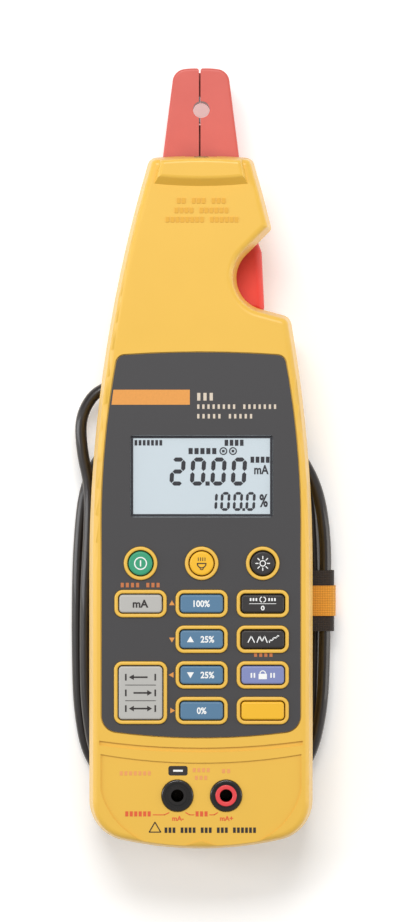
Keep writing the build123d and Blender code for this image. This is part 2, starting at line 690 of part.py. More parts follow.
# ---- handpiece: the detachable clamp ------------------------------------------------------------------------------
TRIGGER_Y0 = 42.0
TRIGGER_Y1 = 73.0
HAND_SCREWS = ((-9.0, 34.0), (9.0, 34.0), (-8.6, 77.5))
RELIEF_Y = 23.6                 # the cable leaves the left side of the tail
RELIEF_R = 2.9
RELIEF_TIP_X = -21.5


def hand_plan(inset=0.0):
    """Plan of the handpiece's body."""
    with BuildSketch() as plan:
        with Locations((0, (HAND_TAIL_Y + HAND_TOP_Y) / 2)):
            RectangleRounded(
                2 * (HAND_HALF - inset), HAND_TOP_Y - HAND_TAIL_Y - 2 * inset, 3.0 - inset
            )
    return plan.sketch


def hand_openings():
    """Space that the jaws, their arm and the trigger sweep through the shell's walls."""
    height = JAW_Z1 - JAW_Z0 + 2 * FIT
    low = (Align.MIN, Align.MIN, Align.MIN)
    with BuildPart() as space:
        with Locations((-12.4, HAND_TOP_Y - 3.0, JAW_Z0 - FIT)):
            Box(30.0, 8.0, height, align=low)
        with Locations((8.0, 81.0, JAW_Z0 - FIT)):
            Box(10.0, 20.0, height, align=low)
        with Locations((8.0, TRIGGER_Y0, JAW_Z0 - FIT)):
            Box(10.0, TRIGGER_Y1 - TRIGGER_Y0, height, align=low)
    return space.part


with BuildPart() as handpiece_back_shell:
    with BuildSketch(Plane.XY.offset(HAND_Z0)):
        add(hand_plan())
    extrude(amount=HAND_PART_Z - HAND_Z0)
    fillet(handpiece_back_shell.edges().group_by(Axis.Z)[0], 1.4)
    with BuildSketch(Plane.XY.offset(HAND_Z0 + HAND_WALL)):
        add(hand_plan(HAND_WALL))
    extrude(amount=HAND_Z1, mode=Mode.SUBTRACT)
    with BuildSketch(Plane.XY.offset(HAND_Z0 + 1.0)):
        with Locations(*HAND_SCREWS):
            Circle(2.4)
    extrude(amount=HAND_PART_Z - HAND_Z0 - 1.0)
    with BuildSketch(Plane.XY.offset(HAND_Z0 + 1.0)):
        with Locations(PIVOT):
            Circle(2.15)
    extrude(amount=JAW_Z0 - 0.2 - HAND_Z0 - 1.0)
    with BuildSketch(Plane.XY.offset(HAND_Z0 - 1.0)):
        with Locations(*HAND_SCREWS):
            Circle(1.2)
    extrude(amount=HAND_Z1, mode=Mode.SUBTRACT)
    with BuildSketch(Plane.XY.offset(HAND_Z0 - 1.0)):
        with Locations(*HAND_SCREWS):
            Circle(2.0)
    extrude(amount=2.8, mode=Mode.SUBTRACT)
    with BuildSketch(Plane.XY.offset(HAND_Z0 + 0.8)):
        with Locations(PIVOT):
            Circle(PIVOT_R)
    extrude(amount=HAND_Z1, mode=Mode.SUBTRACT)
    add(hand_openings(), mode=Mode.SUBTRACT)
    with Locations(Location((-HAND_HALF, RELIEF_Y, UPPER_TURN_Z), (0, 90, 0))):
        Cylinder(2.3, 8.0, mode=Mode.SUBTRACT)
save(handpiece_back_shell, "handpiece_back_shell")

with BuildPart() as handpiece_front_shell:
    with BuildSketch(Plane.XY.offset(HAND_PART_Z)):
        add(hand_plan())
    extrude(amount=HAND_Z1 - HAND_PART_Z)
    fillet(handpiece_front_shell.edges().group_by(Axis.Z)[-1], 1.0)
    with BuildSketch(Plane.XY.offset(HAND_PART_Z)):
        add(hand_plan(HAND_WALL))
    extrude(amount=HAND_Z1 - HAND_WALL - HAND_PART_Z, mode=Mode.SUBTRACT)
    with BuildSketch(Plane.XY.offset(HAND_PART_Z)):
        with Locations(*HAND_SCREWS):
            Circle(2.4)
            Circle(0.9, mode=Mode.SUBTRACT)
    extrude(amount=HAND_Z1 - HAND_PART_Z - 1.0)
    # T-shaped rail that slides in the dock
    with BuildSketch(Plane.XY.offset(HAND_Z1 - 0.5)):
        with Locations((0, (RAIL_Y0 + RAIL_Y1) / 2)):
            Rectangle(2 * RAIL_STEM, RAIL_Y1 - RAIL_Y0)
    extrude(amount=DOCK_PLATE_Z1 + FIT - HAND_Z1 + 0.5)
    with BuildSketch(Plane.XY.offset(DOCK_PLATE_Z1 + FIT)):
        with Locations((0, (RAIL_Y0 + RAIL_Y1) / 2)):
            Rectangle(2 * RAIL_HEAD, RAIL_Y1 - RAIL_Y0)
    extrude(amount=1.3)
    with BuildSketch(Plane.XY.offset(HAND_PART_Z)):
        with Locations(PIVOT):
            Circle(PIVOT_R)
    extrude(amount=HAND_Z1 - 0.8 - HAND_PART_Z, mode=Mode.SUBTRACT)
    add(hand_openings(), mode=Mode.SUBTRACT)
    with Locations((9.4, TRIGGER_Y0, HAND_Z1 - HAND_WALL - 1.0)):
        low = (Align.MIN, Align.MIN, Align.MIN)
        Box(10.0, TRIGGER_Y1 - TRIGGER_Y0, 5.0, align=low, mode=Mode.SUBTRACT)
save(handpiece_front_shell, "handpiece_front_shell")

JAW_TIP_X = 8.6
JAW_ROOT_X = 12.1
LEFT_FACE = SPLIT_X - SPLIT_GAP / 2
RIGHT_FACE = SPLIT_X + SPLIT_GAP / 2
JAW_SKIN = 1.2                  # plastic over the ends of the core
TONGUE_X = 0.8
TONGUE_Y0 = 94.5


def outer_rims(jaw, side):
    """Front and back edges of a jaw's outer side, above the hood."""
    return [
        edge
        for group in (jaw.edges().group_by(Axis.Z)[0], jaw.edges().group_by(Axis.Z)[-1])
        for edge in group
        if side * edge.center().X > 3.0 and edge.center().Y > HOOD_Y + 5.0
        and edge.distance_to(Vector(*HOLE, edge.center().Z)) > CORE_R + 0.5
    ]


def core_pocket():
    """Room for the magnetic core inside both jaws, closed in front and behind."""
    with BuildPart() as pocket:
        with Locations((*HOLE, JAW_Z0 + JAW_SKIN)):
            Cylinder(
                CORE_R, JAW_Z1 - JAW_Z0 - 2 * JAW_SKIN,
                align=(Align.CENTER, Align.CENTER, Align.MIN),
            )
    return pocket.part


def tongue(grow, top):
    """A lip on the fixed jaw's face, half the jaws' depth, that keeps light out of the gap."""
    low = (Align.MIN, Align.MIN, Align.MIN)
    with BuildPart() as lip:
        with Locations((LEFT_FACE, TONGUE_Y0 - 6 * grow, JAW_Z0)):
            Box(
                TONGUE_X - LEFT_FACE + grow, TOP_Y - 1.0 - TONGUE_Y0 + 12 * grow, top - JAW_Z0,
                align=low,
            )
        with Locations((*HOLE, JAW_Z0)):
            Cylinder(CORE_R + 0.6 - grow, 30.0, mode=Mode.SUBTRACT)
    return lip.part


with BuildPart() as fixed_jaw:
    with BuildSketch(Plane.XY.offset(JAW_Z0)) as profile:
        with BuildLine():
            Polyline(
                (-JAW_TIP_X, TOP_Y - 0.9), (-JAW_ROOT_X, HOOD_Y), (-11.3, HAND_TOP_Y - 0.4),
                (-11.3, 84.0), (LEFT_FACE, 84.0), (LEFT_FACE, TOP_Y),
            )
            ThreePointArc((LEFT_FACE, TOP_Y), (-4.6, TOP_Y - 0.1), (-JAW_TIP_X, TOP_Y - 0.9))
        make_face()
        fillet(profile.vertices().filter_by(lambda v: v.X < -8 and v.Y > 120), 4.2)
        chamfer(profile.vertices().filter_by(lambda v: v.X > -2 and v.Y > 120), 0.5)
        with Locations(HOLE):
            Circle(HOLE_R, mode=Mode.SUBTRACT)
    extrude(amount=JAW_Z1 - JAW_Z0)
    fillet(outer_rims(fixed_jaw, -1), 0.8)
    add(core_pocket(), mode=Mode.SUBTRACT)
    add(tongue(0.0, 14.0))
save(fixed_jaw, "fixed_jaw")

# the moving jaw turns on the pivot, and its arm ends in the trigger
with BuildPart() as moving_jaw:
    with BuildSketch(Plane.XY.offset(JAW_Z0)) as profile:
        with BuildLine():
            ThreePointArc((RIGHT_FACE, TOP_Y), (4.6, TOP_Y - 0.1), (JAW_TIP_X, TOP_Y - 0.9))
            Polyline(
                (JAW_TIP_X, TOP_Y - 0.9), (JAW_ROOT_X, HOOD_Y), (12.3, 86.5), (11.0, 79.0),
                (11.0, 71.0), (17.9, 68.6), (19.2, 65.0), (20.1, 46.0), (10.4, 46.0),
                (8.0, 58.0), (5.5, 70.0), (1.6, 79.0), (1.2, 86.0), (RIGHT_FACE, 91.0),
                (RIGHT_FACE, TOP_Y),
            )
        make_face()
        fillet(profile.vertices().filter_by(lambda v: v.X > 8 and v.Y > 120), 4.2)
        chamfer(profile.vertices().filter_by(lambda v: v.X < 2 and v.Y > 120), 0.5)
        fillet(profile.vertices().filter_by(lambda v: v.X > 17 and 46.0 < v.Y + 0.5 < 47.0), 1.6)
        fillet(profile.vertices().filter_by(lambda v: 17 < v.X < 18 and 68 < v.Y < 69), 1.2)
        with Locations(HOLE):
            Circle(HOLE_R, mode=Mode.SUBTRACT)
        with Locations(PIVOT):
            Circle(PIVOT_R + 0.05, mode=Mode.SUBTRACT)
    extrude(amount=JAW_Z1 - JAW_Z0)
    fillet(outer_rims(moving_jaw, 1), 0.8)
    trigger_rims = [
        edge
        for group in (moving_jaw.edges().group_by(Axis.Z)[0], moving_jaw.edges().group_by(Axis.Z)[-1])
        for edge in group
        if edge.center().X > 17.0 and 46.0 < edge.center().Y < 69.0
    ]
    fillet(trigger_rims, 2.4)
    add(core_pocket(), mode=Mode.SUBTRACT)
    add(tongue(0.25, 14.3), mode=Mode.SUBTRACT)
save(moving_jaw, "moving_jaw")

# the two halves of the core all but touch
for side, face_x in (("fixed", RIGHT_FACE - 0.05), ("moving", RIGHT_FACE)):
    with BuildPart() as core:
        with BuildSketch(Plane.XY.offset(JAW_Z0 + JAW_SKIN)):
            with Locations(HOLE):
                Circle(CORE_R)
                Circle(HOLE_R, mode=Mode.SUBTRACT)
            with Locations((face_x, HOLE[1])):
                align_x = Align.MIN if side == "fixed" else Align.MAX
                Rectangle(20.0, 20.0, align=(align_x, Align.CENTER), mode=Mode.SUBTRACT)
        extrude(amount=JAW_Z1 - JAW_Z0 - 2 * JAW_SKIN)
    save(core, f"{side}_core")

with BuildPart() as pivot_pin:
    with Locations((*PIVOT, HAND_Z0 + 0.8)):
        Cylinder(
            PIVOT_R, HAND_Z1 - HAND_Z0 - 1.6, align=(Align.CENTER, Align.CENTER, Align.MIN)
        )
save(pivot_pin, "pivot_pin")

# closing spring, wound round the pin under the jaw
WIRE_R = 0.3
with BuildPart() as trigger_spring:
    for turn in range(2):
        with BuildSketch(Plane.XZ.offset(-PIVOT[1])):
            with Locations((PIVOT[0] + 2.6, HAND_Z0 + 2.2 + 0.5 * turn)):
                Circle(WIRE_R)
        revolve(axis=Axis((*PIVOT, 0), (0, 0, 1)))
    with Locations(Location((PIVOT[0] - 2.6, PIVOT[1] - 6.0, HAND_Z0 + 2.2), (90, 0, 0))):
        Cylinder(WIRE_R, 12.0)
save(trigger_spring, "trigger_spring")

with BuildPart() as sensor_board:
    with Locations((-4.6, 56.0, 10.0)):
        Box(12.5, 34.0, 1.2, align=(Align.CENTER, Align.CENTER, Align.MIN))
    with Locations((-5.0, 62.0, 11.2)):
        Box(5.0, 5.0, 1.0, align=(Align.CENTER, Align.CENTER, Align.MIN))
    with Locations((-5.5, 49.0, 11.2)):
        Box(6.0, 4.0, 1.4, align=(Align.CENTER, Align.CENTER, Align.MIN))
save(sensor_board, "sensor_board")
save(screws(HAND_SCREWS, 20.0, HAND_Z0 + 1.8, HAND_Z0 + 0.4, 0.85, 1.8), "handpiece_screws")

with BuildPart() as handpiece_strain_relief:
    with BuildSketch(Plane.XZ.offset(-RELIEF_Y)):
        with BuildLine():
            Polyline(
                (-HAND_HALF + 3.6, UPPER_TURN_Z),
                (-HAND_HALF + 3.6, UPPER_TURN_Z + 2.25),
                (-HAND_HALF - 0.05, UPPER_TURN_Z + 2.25),
                (-HAND_HALF - 0.05, UPPER_TURN_Z + RELIEF_R),
                (RELIEF_TIP_X, UPPER_TURN_Z + CABLE_D / 2 + 0.35),
                (RELIEF_TIP_X, UPPER_TURN_Z),
                close=True,
            )
        make_face()
    revolve(axis=Axis((0, RELIEF_Y, UPPER_TURN_Z), (1, 0, 0)))
save(handpiece_strain_relief, "handpiece_strain_relief")

# ---- extension cable: from the handpiece, two turns round the battery box, into the case -------------------
GLAND_X = 12.0
GLAND_Y = 6.2
CABLE_ROUTE = [
    # out of the handpiece and round the small loop on the left
    (RELIEF_TIP_X - 0.1, RELIEF_Y, UPPER_TURN_Z),
    (-31.4, RELIEF_Y, UPPER_TURN_Z),
    (-38.4, 14.2, UPPER_TURN_Z),
    (-37.9, 2.0, UPPER_TURN_Z),
    (-35.2, -9.0, UPPER_TURN_Z),
    # down the left side and across under the heel
    (-35.6, -25.0, UPPER_TURN_Z),
    (-36.6, -42.0, UPPER_TURN_Z),
    (-36.8, -62.0, UPPER_TURN_Z),
    (-36.4, -80.0, UPPER_TURN_Z),
    (-33.4, -96.5, UPPER_TURN_Z),
    (-22.5, -107.8, UPPER_TURN_Z),
    (-7.5, -111.9, UPPER_TURN_Z),
    (8.0, -111.6, UPPER_TURN_Z),
    (23.0, -107.6, UPPER_TURN_Z),
    (34.4, -97.0, UPPER_TURN_Z),
    # up the right side, through the strap
    (38.6, -80.0, UPPER_TURN_Z),
    (39.3, -60.0, UPPER_TURN_Z),
    (39.5, -42.0, UPPER_TURN_Z),
    (39.6, -24.0, UPPER_TURN_Z),
    (36.6, -7.0, UPPER_TURN_Z),
    (27.0, 7.0, UPPER_TURN_Z),
    # across the top, coming down to the second turn
    (12.0, 14.2, UPPER_TURN_Z - 0.5),
    (-4.0, 14.6, UPPER_TURN_Z - 2.1),
    (-19.0, 11.6, UPPER_TURN_Z - 3.9),
    (-30.8, 3.4, LOWER_TURN_Z),
    (-37.0, -8.5, LOWER_TURN_Z),
    (-38.8, -25.0, LOWER_TURN_Z),
    (-39.4, -43.0, LOWER_TURN_Z),
    (-39.4, -62.0, LOWER_TURN_Z),
    (-38.9, -80.0, LOWER_TURN_Z),
    (-36.0, -95.5, LOWER_TURN_Z),
    (-26.5, -106.2, LOWER_TURN_Z),
    (-13.0, -110.0, LOWER_TURN_Z),
    (3.0, -110.2, LOWER_TURN_Z),
    (18.0, -107.5, LOWER_TURN_Z),
    (30.0, -100.5, LOWER_TURN_Z),
    (35.6, -87.0, LOWER_TURN_Z),
    (36.2, -67.0, LOWER_TURN_Z),
    (36.5, -47.5, LOWER_TURN_Z + 0.3),
    (36.1, -28.0, LOWER_TURN_Z),
    (34.9, -10.0, LOWER_TURN_Z),
    (28.3, 2.9, LOWER_TURN_Z),
    (19.0, GLAND_Y, LOWER_TURN_Z),
    (GLAND_X + 0.1, GLAND_Y, LOWER_TURN_Z),
]


def corner_radii(route):
    """The largest arc that each corner of a route has room for."""
    radii = []
    for before, corner, after in zip(route, route[1:], route[2:]):
        arriving = Vector(*corner) - Vector(*before)
        leaving = Vector(*after) - Vector(*corner)
        turn = math.radians(arriving.get_angle(leaving))
        shorter = min(arriving.length, leaving.length)
        radii.append(0.45 * shorter / math.tan(turn / 2))
    return radii


cable_radii = corner_radii(CABLE_ROUTE)
print("cable arc radii:", [round(radius, 1) for radius in cable_radii])
with BuildPart() as extension_cable:
    with BuildLine() as route:
        FilletPolyline(*CABLE_ROUTE, radius=cable_radii)
    with BuildSketch(Plane(origin=route.line @ 0, z_dir=route.line % 0)):
        Circle(CABLE_D / 2)
    sweep()
cable_length = sum(edge.length for edge in route.edges())
print(f"cable length {cable_length:.1f} mm; volume over section times length:",
      round(extension_cable.part.volume / (math.pi * CABLE_D**2 / 4 * cable_length), 4))
save(extension_cable, "extension_cable")

with BuildPart() as case_strain_relief:
    with BuildSketch(Plane.YZ.offset(GLAND_X - 10.0)):
        with Locations((BOX_Y1, LOWER_TURN_Z)):
            Rectangle(GLAND_Y + 3.0 - BOX_Y1, 5.2, align=(Align.MIN, Align.CENTER))
    extrude(amount=10.0)
    fillet(case_strain_relief.edges().filter_by(Axis.X).group_by(Axis.Y)[-1], 1.5)
save(case_strain_relief, "case_strain_relief")

# ---- strap that ties the two strands together on the right ---------------------------------------------------
STRAP_Y = -45.25
STRAP_X0 = 33.2
STRAP_X1 = 42.3
STRAP_Z0 = 0.9
STRAP_Z1 = 11.3


def strap_ring(length, grow, wall):
    """A flat band round the strands, a rounded ring drawn out along the cable."""
    with BuildPart() as ring:
        with BuildSketch(Plane.XZ.offset(-STRAP_Y - length / 2)):
            with Locations(((STRAP_X0 + STRAP_X1) / 2, (STRAP_Z0 + STRAP_Z1) / 2)):
                width = STRAP_X1 - STRAP_X0 + 2 * grow
                height = STRAP_Z1 - STRAP_Z0 + 2 * grow
                RectangleRounded(width, height, 1.7 + grow)
                RectangleRounded(
                    width - 2 * wall, height - 2 * wall, 1.7 + grow - wall, mode=Mode.SUBTRACT
                )
        extrude(amount=length)
    return ring


save(strap_ring(19.3, 0.0, 0.6), "cable_strap")
save(strap_ring(9.6, 0.5, 0.45), "cable_strap_band")
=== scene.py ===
# %% [markdown]
# A clamp meter, dressed for its picture.  The CAD model already holds every rigid piece at its
# true size, so this notebook adds what a CAD model lacks: finishes, printing, springs, rings,
# a cable with a natural line, light and a camera.  Everything is in metres, in the CAD's frame.

# %% Load the imported model, with helpers for part boxes and bodies
import math

import bmesh
import bpy
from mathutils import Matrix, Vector


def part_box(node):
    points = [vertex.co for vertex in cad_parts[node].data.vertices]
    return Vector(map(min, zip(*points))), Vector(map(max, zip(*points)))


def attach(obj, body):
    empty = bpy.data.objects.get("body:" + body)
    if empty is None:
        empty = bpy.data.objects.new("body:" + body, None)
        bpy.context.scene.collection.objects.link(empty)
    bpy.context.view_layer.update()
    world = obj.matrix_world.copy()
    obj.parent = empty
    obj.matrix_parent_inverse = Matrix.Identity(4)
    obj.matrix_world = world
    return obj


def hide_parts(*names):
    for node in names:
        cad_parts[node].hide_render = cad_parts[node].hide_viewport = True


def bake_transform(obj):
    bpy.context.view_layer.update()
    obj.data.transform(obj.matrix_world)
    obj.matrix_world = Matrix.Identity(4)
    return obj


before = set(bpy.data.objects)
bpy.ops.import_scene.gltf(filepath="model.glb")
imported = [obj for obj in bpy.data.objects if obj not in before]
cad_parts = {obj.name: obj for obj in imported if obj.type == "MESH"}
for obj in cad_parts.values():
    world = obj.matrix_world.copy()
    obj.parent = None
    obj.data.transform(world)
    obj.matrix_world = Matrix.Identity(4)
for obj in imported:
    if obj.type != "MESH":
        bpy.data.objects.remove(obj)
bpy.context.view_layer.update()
MM = 0.001

# %% [markdown]
# The meter is seen from straight above its face.  A long lens two metres away keeps the sides
# nearly parallel, yet still shows a little of each flank.  The camera looks down, so its top is
# +Y, and the distance and the lens follow from how much of the table it should see.

# %% Camera
VIEW_HEIGHT = 289.6 * MM        # length of table seen from top to bottom of the picture
LENS_DISTANCE = 2.0
SUBJECT_Y = -0.9 * MM           # the middle of the picture, a little below the model's
SUBJECT_Z = 32 * MM             # the plane that the framing is worked out for
SENSOR = 36.0                   # height of the camera's sensor in millimetres

camera_data = bpy.data.cameras.new("camera")
camera_data.sensor_fit = "VERTICAL"
camera_data.sensor_height = SENSOR
camera_data.lens = SENSOR * LENS_DISTANCE / VIEW_HEIGHT
camera = bpy.data.objects.new("camera", camera_data)
camera.location = (0.0, SUBJECT_Y, SUBJECT_Z + LENS_DISTANCE)
bpy.context.collection.objects.link(camera)
bpy.context.scene.camera = camera
print("lens, mm:", round(camera_data.lens, 1))

# %% [markdown]
# The extension cable leaves the handpiece, makes a small loop on the left, and is wound twice
# round the battery box before it enters the case.  A NURBS spline of low order through listed
# control points gives the easy, slightly uneven line of a wound lead.  The route is the CAD's.

# %% The cable's route
CABLE_D = 3.7 * MM
HIGH = 8.6                      # height of the outer turn, in millimetres like the route
LOW = 3.6                       # height of the turn nearest the table
RELIEF_TIP_X = -21.5
RELIEF_Y = 23.6
GLAND_X = 12.0
GLAND_Y = 6.2
CABLE_ROUTE = [
    (RELIEF_TIP_X - 0.1, RELIEF_Y, HIGH), (-31.4, RELIEF_Y, HIGH), (-38.4, 14.2, HIGH),
    (-37.9, 2.0, HIGH), (-35.2, -9.0, HIGH),
    (-35.6, -25.0, HIGH), (-36.6, -42.0, HIGH), (-36.8, -62.0, HIGH), (-36.4, -80.0, HIGH),
    (-33.4, -96.5, HIGH), (-22.5, -107.8, HIGH), (-7.5, -111.9, HIGH), (8.0, -111.6, HIGH),
    (23.0, -107.6, HIGH), (34.4, -97.0, HIGH),
    (38.6, -80.0, HIGH), (39.3, -60.0, HIGH), (39.5, -42.0, HIGH), (39.6, -24.0, HIGH),
    (36.6, -7.0, HIGH), (27.0, 7.0, HIGH),
    (12.0, 14.2, HIGH - 0.5), (-4.0, 14.6, HIGH - 2.1), (-19.0, 11.6, HIGH - 3.9),
    (-30.8, 3.4, LOW), (-37.0, -8.5, LOW), (-38.8, -25.0, LOW), (-39.4, -43.0, LOW),
    (-39.4, -62.0, LOW), (-38.9, -80.0, LOW), (-36.0, -95.5, LOW), (-26.5, -106.2, LOW),
    (-13.0, -110.0, LOW), (3.0, -110.2, LOW), (18.0, -107.5, LOW), (30.0, -100.5, LOW),
    (35.6, -87.0, LOW), (36.2, -67.0, LOW), (36.5, -47.5, LOW + 0.3), (36.1, -28.0, LOW),
    (34.9, -10.0, LOW), (28.3, 2.9, LOW), (19.0, GLAND_Y, LOW), (GLAND_X + 0.1, GLAND_Y, LOW),
]


def nurbs(name, points_mm, bevel):
    """A curve object with one smooth open spline whose control points are in millimetres."""
    data = bpy.data.curves.new(name, "CURVE")
    data.dimensions = "3D"
    data.resolution_u = 8
    data.bevel_depth = bevel
    data.bevel_resolution = 5
    data.use_fill_caps = bevel > 0
    spline = data.splines.new("NURBS")
    spline.points.add(len(points_mm) - 1)
    for point, place in zip(spline.points, points_mm):
        point.co = (*(v * MM for v in place), 1.0)
    spline.order_u = 3
    spline.use_endpoint_u = True
    return bpy.data.objects.new(name, data)


def as_mesh(source, name):
    """The evaluated shape of an object as a plain mesh object of its own, linked to the scene."""
    if source.name not in bpy.context.collection.objects:
        bpy.context.collection.objects.link(source)
    depsgraph = bpy.context.evaluated_depsgraph_get()
    mesh = bpy.data.meshes.new_from_object(source.evaluated_get(depsgraph), depsgraph=depsgraph)
    mesh.name = name
    result = bpy.data.objects.new(name, mesh)
    bpy.context.collection.objects.link(result)
    bpy.data.objects.remove(source)
    return result


# %% The cable as a tube; its centre line is made and dropped again
line = as_mesh(nurbs("cable_line", CABLE_ROUTE, 0.0), "cable_line_mesh")
bpy.data.objects.remove(line)
cable = as_mesh(nurbs("extension_cable_tube", CABLE_ROUTE, CABLE_D / 2), "extension_cable_smooth")
cable.data.shade_smooth()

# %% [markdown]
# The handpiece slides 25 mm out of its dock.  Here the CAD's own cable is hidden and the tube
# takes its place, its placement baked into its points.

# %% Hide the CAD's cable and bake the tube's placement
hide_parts("extension_cable")
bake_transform(cable)

# %% [markdown]
# Floor and light.  The meter lies on a plain pale sheet.  A wide lamp overhead, a strip at each
# side and a bright surround give soft shadows, and glints along the rounded edges.

# %% Floor and studio
def area_light(name, place, aim, size, power, colour):
    """A rectangular soft lamp at place, turned to shine on aim."""
    data = bpy.data.lights.new(name, "AREA")
    data.shape = "RECTANGLE"
    data.size, data.size_y = size
    data.energy = power
    data.color = colour
    lamp = bpy.data.objects.new(name, data)
    lamp.location = place
    lamp.rotation_euler = (Vector(aim) - Vector(place)).to_track_quat("-Z", "Y").to_euler()
    bpy.context.collection.objects.link(lamp)
    return lamp


area_light("overhead", (-0.08, 0.62, 1.15), (0, 0, 0), (0.6, 0.4), 9.3, (1.0, 0.99, 0.97))
area_light("left_strip", (-0.75, 0.05, 0.40), (0, 0, 0.02), (0.20, 0.9), 2.8, (0.97, 0.98, 1.0))
area_light("right_strip", (0.75, -0.05, 0.28), (0, 0, 0.02), (0.25, 0.9), 2.2, (1.0, 0.97, 0.93))

world = bpy.data.worlds.new("studio")
bpy.context.scene.world = world
world.use_nodes = True
world.node_tree.nodes["Background"].inputs["Color"].default_value = (1.0, 1.0, 1.0, 1.0)
world.node_tree.nodes["Background"].inputs["Strength"].default_value = 0.42
bpy.context.scene.view_settings.view_transform = "Standard"

floor_mesh = bpy.data.meshes.new("floor")
FLOOR_HALF = 3.0
floor_mesh.from_pydata(
    [(x * FLOOR_HALF, y * FLOOR_HALF, 0.0) for x, y in ((-1, -1), (1, -1), (1, 1), (-1, 1))],
    [], [(0, 1, 2, 3)],
)
floor = bpy.data.objects.new("floor", floor_mesh)
bpy.context.collection.objects.link(floor)

# %% [markdown]
# Materials are written as sums.  The small class below wraps one socket, so that an expression
# such as `0.4 + grain * 0.1` adds the Math nodes it needs, and `node` makes any other node.

# %% A socket that can be added and multiplied
class Value:
    """One output socket of a shader tree, with Python's operators."""

    def __init__(self, tree, socket):
        self.tree = tree
        self.socket = socket

    def node(self, kind, settings=None, **inputs):
        return add_node(self.tree, kind, settings, **inputs)

    def math(self, operation, *values):
        made = self.tree.nodes.new("ShaderNodeMath")
        made.operation = operation
        for socket, value in zip(made.inputs, values):
            plug(self.tree, socket, value)
        return Value(self.tree, made.outputs[0])

    def __add__(self, other):
        return self.math("ADD", self, other)

    def __radd__(self, other):
        return self.math("ADD", other, self)

    def __sub__(self, other):
        return self.math("SUBTRACT", self, other)

    def __mul__(self, other):
        return self.math("MULTIPLY", self, other)

    def clamp(self):
        return self.math("MAXIMUM", self.math("MINIMUM", self, 1.0), 0.0)


def plug(tree, socket, value):
    """Link a Value into a socket, or set the socket to a plain number, colour or vector."""
    if isinstance(value, Value):
        tree.links.new(value.socket, socket)
    else:
        socket.default_value = value


def add_node(tree, kind, settings=None, output=0, **inputs):
    """A node of one kind: its settings first, then its inputs by name (spaces as underscores)."""
    made = tree.nodes.new(kind)
    for name, value in (settings or {}).items():
        setattr(made, name, value)
    for name, value in inputs.items():
        plug(tree, made.inputs[name.replace("_", " ")], value)
    return Value(tree, made.outputs[output])


def blank_material(name):
    """A new material with its tree and its Principled shader."""
    made = bpy.data.materials.new(name)
    made.use_nodes = True
    shader = made.node_tree.nodes["Principled BSDF"]
    return made, made.node_tree, shader


def shade(tree, shader, **values):
    """Set or link the shader's sockets by name (spaces as underscores)."""
    for name, value in values.items():
        plug(tree, shader.inputs[name.replace("_", " ")], value)


def place(tree):
    """Object coordinates."""
    texture = tree.nodes.new("ShaderNodeTexCoord")
    return Value(tree, texture.outputs["Object"])


MIX_A, MIX_B, MIX_RESULT = 6, 7, 2      # the colour sockets of a Mix node, by number


def mix(tree, factor, first, second):
    """A colour between two colours."""
    made = tree.nodes.new("ShaderNodeMix")
    made.data_type = "RGBA"
    plug(tree, made.inputs[0], factor)
    plug(tree, made.inputs[MIX_A], first)
    plug(tree, made.inputs[MIX_B], second)
    return Value(tree, made.outputs[MIX_RESULT])


def srgb(red, green, blue):
    """A colour given as 0 to 255 on screen, as the linear colour that a shader takes."""
    def linear(channel):
        part = channel / 255
        return part / 12.92 if part <= 0.04045 else ((part + 0.055) / 1.055) ** 2.4
    return (linear(red), linear(green), linear(blue), 1.0)


def scaled(colour, amount):
    """A colour made lighter or darker, its alpha left at one."""
    return (*(min(1.0, channel * amount) for channel in colour[:3]), 1.0)


# %% [markdown]
# Most of the meter is moulded plastic: a spark-eroded grain a quarter of a millimetre across, a
# slow unevenness in the gloss from the tool, and a trace of handling.  One function makes them
# all, because only the colour, the depth of grain and the gloss differ.

# %% Moulded plastic
def moulded(name, colour, roughness=0.42, grain=0.25, depth=0.012, variation=0.05, coat=0.0):
    """Grained, slightly uneven plastic.  grain and depth are in millimetres."""
    made, tree, shader = blank_material(name)
    here = place(tree)
    fine = here.node(
        "ShaderNodeTexNoise", Vector=here, Scale=1.0 / (grain * MM), Detail=2.0, Roughness=0.6
    )
    slow = here.node("ShaderNodeTexNoise", Vector=here, Scale=45.0, Detail=3.0, Roughness=0.55)
    handled = here.node("ShaderNodeTexNoise", Vector=here, Scale=160.0, Detail=5.0, Roughness=0.7)
    tone = mix(tree, slow, scaled(colour, 1 - variation), scaled(colour, 1 + variation))
    bump = here.node("ShaderNodeBump", Height=fine, Strength=0.6, Distance=depth * MM)
    shade(
        tree, shader, Base_Color=tone, Normal=bump,
        Roughness=(roughness - 0.05 + slow * 0.06 + handled * 0.06).clamp(),
    )
    shader.inputs["Coat Weight"].default_value = coat
    shader.inputs["Coat Roughness"].default_value = 0.25
    shader.inputs["IOR"].default_value = 1.5
    return made


YELLOW = srgb(231, 184, 72)
case_yellow = moulded("case_yellow_moulded", YELLOW, roughness=0.40, variation=0.03, coat=0.15)
panel_grey = moulded("panel_grey_film", srgb(60, 59, 61), roughness=0.55, grain=0.18, depth=0.02)
dark_plastic = moulded("dark_plastic", srgb(38, 37, 38), roughness=0.45)
door_grey = moulded("door_dark_grey", srgb(58, 57, 58), roughness=0.5, depth=0.02)
jack_black = moulded("jack_black_gloss", srgb(22, 18, 17), roughness=0.25, depth=0.004, coat=0.4)
jack_red = moulded("jack_red_gloss", srgb(226, 66, 70), roughness=0.3, depth=0.004, coat=0.3)
fastener_grey = moulded("fastener_grey", srgb(120, 120, 122), roughness=0.4)
white_plastic = moulded("light_white", srgb(236, 240, 242), roughness=0.3, depth=0.004)
